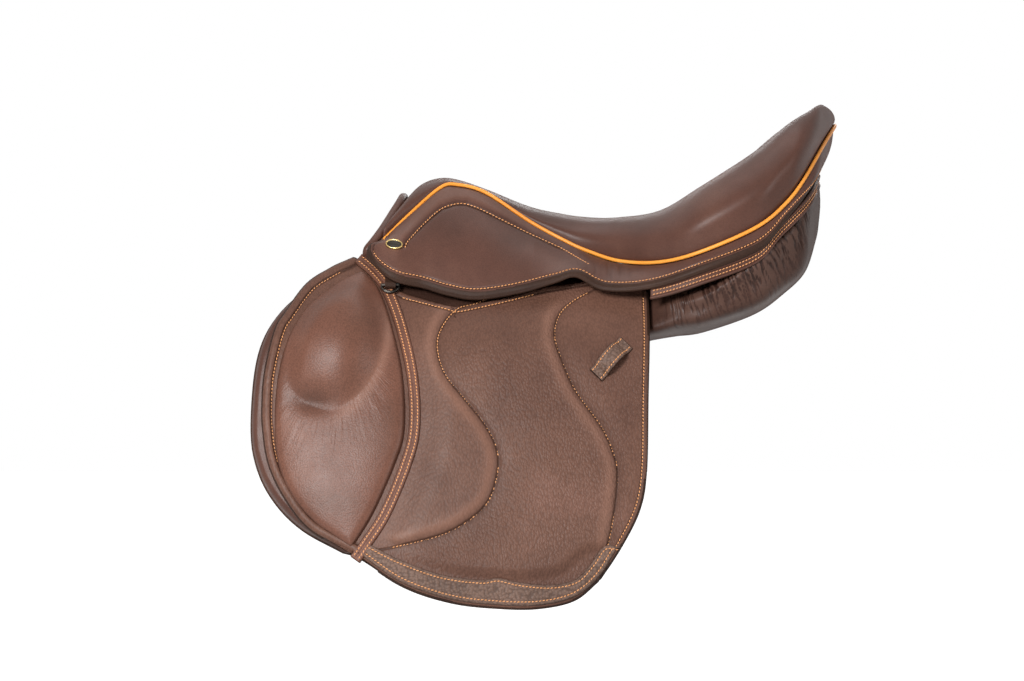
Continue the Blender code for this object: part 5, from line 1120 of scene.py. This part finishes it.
# panels: stuffed cushions that lie on the horse, gathered into fine pleats under the rear strip
panel = {"rings": 480, "around": 84, "crown": 0.007, "pleat": 0.0018, "pleatLong": 0.03, "pleatWide": 0.0034}
panelSections = np.array((
    # share of the seat's length, then y and z of the inner top, outer top, outer bottom and inner bottom corners
    (-0.048, 0.048, 0.070, 0.060, 0.060, 0.102, -0.010, 0.080, -0.028),
    (0.043, 0.042, 0.068, 0.055, 0.056, 0.098, -0.014, 0.066, -0.026),
    (0.158, 0.036, 0.072, 0.058, 0.056, 0.103, -0.010, 0.050, -0.018),
    (0.295, 0.035, 0.074, 0.064, 0.058, 0.104, -0.004, 0.041, -0.008),
    (0.432, 0.035, 0.072, 0.068, 0.050, 0.103, 0.000, 0.038, -0.003),
    (0.524, 0.035, 0.072, 0.074, 0.044, 0.106, 0.003, 0.037, 0.000),
    (0.590, 0.035, 0.074, 0.098, 0.042, 0.118, 0.009, 0.036, 0.006),
    (0.640, 0.035, 0.077, 0.122, 0.042, 0.124, 0.014, 0.036, 0.009),
    (0.700, 0.034, 0.082, 0.136, 0.048, 0.131, 0.0175, 0.035, 0.013),
    (0.810, 0.032, 0.102, 0.136, 0.080, 0.128, 0.034, 0.033, 0.030),
    (0.874, 0.028, 0.126, 0.117, 0.104, 0.112, 0.052, 0.030, 0.050),
    (0.922, 0.022, 0.146, 0.099, 0.131, 0.093, 0.071, 0.026, 0.073),
    (0.951, 0.020, 0.152, 0.064, 0.150, 0.058, 0.102, 0.024, 0.104),
    (0.959, 0.028, 0.147, 0.050, 0.146, 0.046, 0.118, 0.030, 0.119),
    (0.9625, 0.036, 0.136, 0.041, 0.136, 0.040, 0.129, 0.037, 0.130)))
lastSection = len(panelSections) - 1


def panelRing(place, turns):  # points round the panel at one place, as x, y, z
    row = along(panelSections, place)
    corners = row[1:].reshape(4, 2)
    full = ease(place / 1.5) * ease((lastSection - place) / 1.5)
    control = []
    centre = corners.mean(axis=0)
    for k, swollen in enumerate((0.0, 0.004, panel["crown"], -0.001)):
        a, b = corners[k], corners[(k + 1) % 4]
        across = unit(np.array((b[1] - a[1], a[0] - b[0])))
        across = across if np.dot(across, (a + b) / 2 - centre) >= 0 else -across
        control += [a, (a + b) / 2 + across * swollen * full]
    wrapped = control[-2:] + control + control[:3]
    ring = np.array([along(wrapped, 2 + 8 * t) for t in turns])
    return np.column_stack((np.full(len(ring), seatFront + row[0] * seatRun), ring))


panelTurns = np.arange(panel["around"]) / panel["around"]
panelPlaces = np.concatenate((np.linspace(0.0, 6.0, 110), np.linspace(6.0, lastSection, panel["rings"] - 109)[1:]))
panelRings = np.array([panelRing(place, panelTurns) for place in panelPlaces])
panelNormal = np.cross(np.roll(panelRings, -1, axis=1) - np.roll(panelRings, 1, axis=1), np.gradient(panelRings, axis=0))
panelNormal = unit(panelNormal)
panelMiddle = panelRings.mean(axis=1, keepdims=True)
panelNormal = panelNormal * np.where(np.sum(panelNormal * (panelRings - panelMiddle), axis=2, keepdims=True) < 0, -1.0, 1.0)
gussetLine = np.array([seatLines(u)[3] for u in np.linspace(gusset["start"], lastStation, 60)]) - np.array((0.0, 0.004, 0.014))
panelFrom = np.linalg.norm(panelRings[:, :, None] - gussetLine[None, None], axis=-1)
nearestStrip = np.argmin(panelFrom, axis=2)
stripFar = np.min(panelFrom, axis=2)
stripPlace = np.concatenate(([0], np.cumsum(np.linalg.norm(np.diff(gussetLine, axis=0), axis=1))))
blend = np.take(stripPlace, nearestStrip)
ahead = unit(np.gradient(gussetLine, axis=0))
offset = np.sum((panelRings - gussetLine[nearestStrip]) * ahead[nearestStrip], axis=2)
pleatAlong = blend + offset
pleatPlaces = list(zip(pleatAlong.ravel() / panel["pleatWide"], stripFar.ravel() / panel["pleatLong"]))
pleatField = np.array([noise.noise(Vector((v * 0.9, f * 1.3, 3.3))) + 0.45 * noise.noise(Vector((v * 2.1, f * 2.4, 7.7)))
                       for v, f in pleatPlaces]).reshape(pleatAlong.shape)
pleatPulse = ease(np.abs(pleatField) / 0.22)
strength = np.array([0.8 + 0.7 * noise.noise(Vector((v * 0.33, 0.0, 9.1))) for v, f in pleatPlaces]).reshape(pleatAlong.shape)
pleatHere = np.exp(-((stripFar / panel["pleatLong"]) ** 2)) * ease((panelRings[..., 0] - 0.105) / 0.03) * ease((0.262 - panelRings[..., 0]) / 0.02)
panelRings = panelRings - panelNormal * (panel["pleat"] * (1 - pleatPulse) * pleatHere * strength)[..., None]
# painted light: painted shade in the pleat folds, a slight painted highlight on their crests
panelPaintedLight = np.clip(-0.9 * (1 - pleatPulse) * pleatHere * strength + 0.22 * pleatHere * pleatPulse, -1, 1)
for name, side in sides.items():
    index = np.arange(panel["rings"] * panel["around"]).reshape(panel["rings"], panel["around"])
    faces = []
    for this, following in zip(index[:-1], index[1:]):
        faces.append(np.stack((this, np.roll(this, -1), np.roll(following, -1), following), axis=1))
    faces = np.concatenate(faces)
    points = (panelRings * (1, side, 1)).reshape(-1, 3)
    probe = faces[len(faces) // 2]
    outward = np.cross(points[probe[1]] - points[probe[0]], points[probe[2]] - points[probe[1]])
    if np.dot(outward, points[probe[0]] - panelMiddle[panel["rings"] // 2, 0] * (1, side, 1)) < 0:
        faces = faces[:, ::-1]
    ends = [index[0], index[-1][::-1]]
    piece = meshObject("panelPad_" + name, points, list(faces) + ends, ("panel",), None, {"tone": panelPaintedLight.ravel()})
    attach(piece, "root")
    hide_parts("panel_" + name)

# gusset strip: sewn round the rear over the panels, two rolled edges with crossed stitches between
gussetU = np.linspace(gusset["start"], lastStation, gusset["count"])
gussetShares = np.linspace(0, 1, 25)


def gussetSpot(u, across):  # point on the strip's middle face and the way out from it
    edge = seatLines(u)[3]
    ahead = seatLines(min(u + 0.1, lastStation))[3] - seatLines(u - 0.1)[3]
    out = unit(np.array((-ahead[1], ahead[0], 0.0)))
    if u > lastStation - 0.05:
        out = np.array((1.0, 0.0, 0.0))
    inset = gusset["inset"] - (gusset["inset"] + 0.001) * ease((u - 11.5) / 2.5)
    return edge - out * inset - np.array((0, 0, 0.002 + gusset["wide"] * across)), out


def gussetBoth(height):
    grid = []
    for u in gussetU:
        spotsHere = [gussetSpot(u, c) for c in gussetShares]
        grid.append([p + o * h for (p, o), h in zip(spotsHere, height)])
    grid = np.array(grid)
    return np.concatenate((grid * mirror, grid[-2::-1]))


rimIn = np.minimum(gussetShares, 1 - gussetShares) * gusset["wide"]
beadHalf = gusset["beadWide"] / 2
beadHigh = gusset["bead"] * np.sqrt(np.maximum(1 - np.clip(np.abs(rimIn - beadHalf) / beadHalf, 0, 1) ** 2, 0))
gussetTop = gussetBoth(beadHigh - 0.0002)
gussetUnder = gussetBoth(np.full(len(gussetShares), -gusset["thick"]))
gussetStrip = shell("gussetStrip", gussetTop, gussetUnder, ("seat", "edge"), 0.4)
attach(gussetStrip, "root")
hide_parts("gusset_strip")
gussetOut = np.array([gussetSpot(u, 0.5)[1] for u in gussetU])
for side in sides.values():
    for sign in (-1, 1):
        share = 0.5 + sign * gusset["rows"] / 2 / gusset["wide"]
        row = np.array([gussetSpot(u, share)[0] for u in gussetU]) + gussetOut * 0.0004
        stitchRow("root", row[2:] * (1, side, 1), gussetOut[2:] * (1, side, 1), 0.0033)

# panel bridge: leather that joins the two panels over the channel
bridge = {"thick": 0.0025, "columns": 17}
bridgeRows = np.array([along(panelSections, p) for p in np.linspace(1, lastSection - 2, 90)])
bridgeColumns = np.linspace(-1, 1, bridge["columns"])
bridgeX = seatFront + bridgeRows[:, 0] * seatRun
bridgeTop = np.array([[(x, (y - 0.003) * c, z - 0.006 + 0.004 * (1 - c * c)) for c in bridgeColumns]
                      for x, y, z in zip(bridgeX, bridgeRows[:, 1], bridgeRows[:, 2])])
panelBridge = shell("panelBridge", bridgeTop, bridgeTop - np.array((0, 0, bridge["thick"])), ("lining", "edge"), 0.6)
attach(panelBridge, "root")
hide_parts("panel_bridge")
print("sweat flaps, facing, panels and strip made")

# nails: an oval badge over each nail head, a brass rim round a plain dark field
badge = {"long": 0.0168, "high": 0.0112, "rim": 0.0013, "rise": 0.0016, "field": 0.0009, "tilt": 0.2, "turns": 64}
badgeSpot = fromPhoto([(395, 245)], 0.088)[0]
badgeAt = np.argmin((skirtTop[..., 0] - badgeSpot[0]) ** 2 + (skirtTop[..., 2] - badgeSpot[1]) ** 2)
badgeRow, badgeColumn = divmod(int(badgeAt), skirtTop.shape[1])
badgeOut = gridNormals(skirtTop)[badgeRow - 6:badgeRow + 7, badgeColumn - 4:badgeColumn + 5].reshape(-1, 3).mean(axis=0)
badgeOut = unit(badgeOut * (1.0 if np.dot(badgeOut, skirtOut[badgeRow]) > 0 else -1.0))
level = unit(np.cross(badgeOut, (0.0, 0.0, 1.0)))
level = level * (1.0 if level[0] > 0 else -1.0)
upward = np.cross(level, badgeOut)
upward = upward * (1.0 if upward[2] > 0 else -1.0)
longWay = level * math.cos(badge["tilt"]) - upward * math.sin(badge["tilt"])
highWay = level * math.sin(badge["tilt"]) + upward * math.cos(badge["tilt"])
profile = [(0.0, -0.0014), (0.0, 0.0004)] + [(badge["rim"] / 2 * (1 - math.cos(t)), 0.0004 + badge["rise"] * math.sin(t) ** 0.8)
                                           for t in np.linspace(0, math.pi * 0.86, 9)[1:]]
profile += [(badge["rim"] + 0.0006, badge["field"]), (badge["rim"] + 0.0016, badge["field"] + 0.0002), (0.0040, badge["field"] + 0.0004)]
badgeTurns = 2 * np.pi * np.arange(badge["turns"]) / badge["turns"]
badgeRings = []
for inward, high in profile:
    reachLong, reachHigh = badge["long"] / 2 - inward, badge["high"] / 2 - inward
    ring = longWay * (np.cos(badgeTurns) * reachLong)[:, None] + highWay * (np.sin(badgeTurns) * reachHigh)[:, None]
    badgeRings.append(skirtTop[badgeRow, badgeColumn] + ring + badgeOut * high)
badgeCentre = skirtTop[badgeRow, badgeColumn] + badgeOut * (badge["field"] + 0.0005)
badgePoints = np.concatenate(badgeRings + [badgeCentre[None]])
badgeIndex = np.arange(len(profile) * badge["turns"]).reshape(len(profile), -1)
badgeFaces, badgeSlots = [list(badgeIndex[0][::-1])], [0]
for k, (this, following) in enumerate(zip(badgeIndex[:-1], badgeIndex[1:])):
    badgeFaces += [list(face) for face in np.stack((this, np.roll(this, -1), np.roll(following, -1), following), axis=1)]
    badgeSlots += [1 if k >= 9 else 0] * badge["turns"]
badgeFaces += [[a, b, len(badgePoints) - 1] for a, b in zip(badgeIndex[-1], np.roll(badgeIndex[-1], -1))]
badgeSlots += [1] * badge["turns"]
facesOut = np.dot(np.cross(longWay, highWay), badgeOut) > 0
for name, side in sides.items():
    faces = badgeFaces if facesOut == (side > 0) else [face[::-1] for face in badgeFaces]
    piece = meshObject("nailBadge_" + name, badgePoints * (1, side, 1), faces, ("brass", "darkSteel"), badgeSlots)
    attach(piece, "root")
    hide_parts("nail_" + name)
print("nails made")

for key, piece in sewRows().items():
    if key.startswith("skirt"):
        side = sides[key.split("_")[1]]
        start = np.array((foldTop["x"], side * 0.1, foldTop["z"]))
        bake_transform(piece)
    elif key.startswith("flap"):
        bendWithFlap(piece)
    else:
        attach(piece, key)
print("stitches made")

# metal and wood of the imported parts
nodeFinish = {"tree": "beech", "head_plate": "steel", "gullet_plate": "steel", "nail": "brass", "dee": "darkSteel",
              "dee_chape": "edge", "billet_front": "flap", "billet_rear": "flap", "girth_web": "web"}
for name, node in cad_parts.items():
    if node.hide_render:
        continue
    base = name.replace("_near", "").replace("_off", "")
    key = nodeFinish.get(base)
    if key is None:
        first = node.material_slots[0].material.name if node.material_slots else ""
        key = "lining"
        for word, option in (("steel", "steel"), ("brass", "brass"), ("beech", "beech"), ("web", "web"), ("pebbled", "pebble"),
                             ("welt", "welt"), ("lining", "lining"), ("grained", "flap"), ("smooth", "seat")):
            if word in first or word in name:
                key = option
                break
        if any(word in name for word in ("spring", "bar_", "stirrup", "pin")):
            key = "steel"
    for slot in node.material_slots:
        slot.material = finish[key]

# camera: square to the near side, at the place and distance that the photograph shows
lens = {"distance": 3.5, "x": -0.027, "z": 0.0, "sensor": 36.0}
cameraData = bpy.data.cameras.new("camera")
cameraData.sensor_width = lens["sensor"]
cameraData.lens = lens["sensor"] * lens["distance"] / (1024 * 0.98e-3)
camera = bpy.data.objects.new("camera", cameraData)
bpy.context.scene.collection.objects.link(camera)
camera.location = (lens["x"], -lens["distance"], lens["z"])
camera.rotation_euler = (math.pi / 2, 0.0, 0.0)
bpy.context.scene.camera = camera


def areaLight(name, place, aim, size, watts, colour="#FFFFFF"):
    light = bpy.data.lights.new(name, "AREA")
    light.shape = "RECTANGLE"
    light.size, light.size_y = size
    light.energy = watts
    light.color = linear(colour)[:3]
    made = bpy.data.objects.new(name, light)
    bpy.context.scene.collection.objects.link(made)
    made.location = place
    made.rotation_euler = (Vector(aim) - Vector(place)).to_track_quat("-Z", "Y").to_euler()
    return made


areaLight("keyLight", (-0.8, -1.9, 0.7), (-0.05, 0.0, -0.05), (0.6, 0.6), 56)
areaLight("topStrip", (0.1, 0.1, 1.8), (0.0, 0.0, 0.05), (1.8, 0.7), 9)
areaLight("fillRight", (1.9, -1.6, 0.5), (0.05, 0.0, 0.0), (0.7, 0.9), 19)
areaLight("backLight", (0.3, 2.2, 0.7), (0.0, 0.0, 0.0), (1.2, 1.0), 22)

# floor: pale matt board well below the hanging saddle; it shows white and keeps the saddle's shadow
floor = {"z": -0.46, "half": 9.0, "lit": 0.62}
floorMesh = bpy.data.meshes.new("floor")
floorMesh.from_pydata([(x * floor["half"], y * floor["half"], floor["z"]) for x, y in ((-1, -1), (1, -1), (1, 1), (-1, 1))], [], [(0, 1, 2, 3)])
board = bpy.data.objects.new("floor", floorMesh)
bpy.context.scene.collection.objects.link(board)
paint = bpy.data.materials.new("matt white board")
paint.use_nodes = True
tree = paint.node_tree
shader = tree.nodes["Principled BSDF"]
shader.inputs["Base Color"].default_value = linear("#DCDCDA")
shader.inputs["Roughness"].default_value = 0.8
place = tree.nodes.new("ShaderNodeTexCoord")
far = nodeOf(tree, "ShaderNodeVectorMath", operation="LENGTH")
glow = nodeOf(tree, "ShaderNodeMapRange")
glow.inputs["From Min"].default_value = 0.7
glow.inputs["From Max"].default_value = 1.25
glow.inputs["To Min"].default_value = floor["lit"]
rays = tree.nodes.new("ShaderNodeLightPath")
seen = nodeOf(tree, "ShaderNodeMath", operation="MAXIMUM")
shown = nodeOf(tree, "ShaderNodeMath", operation="MAXIMUM")
both = nodeOf(tree, "ShaderNodeMath", operation="MULTIPLY")
shader.inputs["Emission Color"].default_value = (1.0, 1.0, 1.0, 1.0)
for start, end in ((place.outputs["Object"], far.inputs[0]), (far.outputs["Value"], glow.inputs["Value"]),
                   (rays.outputs["Is Camera Ray"], seen.inputs[0]), (rays.outputs["Is Glossy Ray"], seen.inputs[1]),
                   (seen.outputs["Value"], shown.inputs[0]), (rays.outputs["Is Transmission Ray"], shown.inputs[1]),
                   (glow.outputs["Result"], both.inputs[0]), (shown.outputs["Value"], both.inputs[1]),
                   (both.outputs["Value"], shader.inputs["Emission Strength"])):
    tree.links.new(start, end)
floorMesh.materials.append(paint)

world = bpy.data.worlds.new("white studio")
bpy.context.scene.world = world
world.use_nodes = True
tree = world.node_tree
plain = tree.nodes["Background"]
plain.inputs["Color"].default_value = linear("#E9EAEC")
plain.inputs["Strength"].default_value = 0.15
white = tree.nodes.new("ShaderNodeBackground")
white.inputs["Color"].default_value = (1.0, 1.0, 1.0, 1.0)
rays = tree.nodes.new("ShaderNodeLightPath")
anyRay = nodeOf(tree, "ShaderNodeMath", operation="MAXIMUM")
seenRay = nodeOf(tree, "ShaderNodeMath", operation="MAXIMUM")
choose = tree.nodes.new("ShaderNodeMixShader")
tree.links.new(rays.outputs["Is Camera Ray"], anyRay.inputs[0])
tree.links.new(rays.outputs["Is Transmission Ray"], anyRay.inputs[1])
tree.links.new(anyRay.outputs["Value"], seenRay.inputs[0])
tree.links.new(rays.outputs["Is Glossy Ray"], seenRay.inputs[1])
tree.links.new(seenRay.outputs["Value"], choose.inputs["Fac"])
tree.links.new(plain.outputs["Background"], choose.inputs[1])
tree.links.new(white.outputs["Background"], choose.inputs[2])
tree.links.new(choose.outputs["Shader"], tree.nodes["World Output"].inputs["Surface"])
scene = bpy.context.scene
scene.view_settings.view_transform = "Standard"
print("camera and light set")
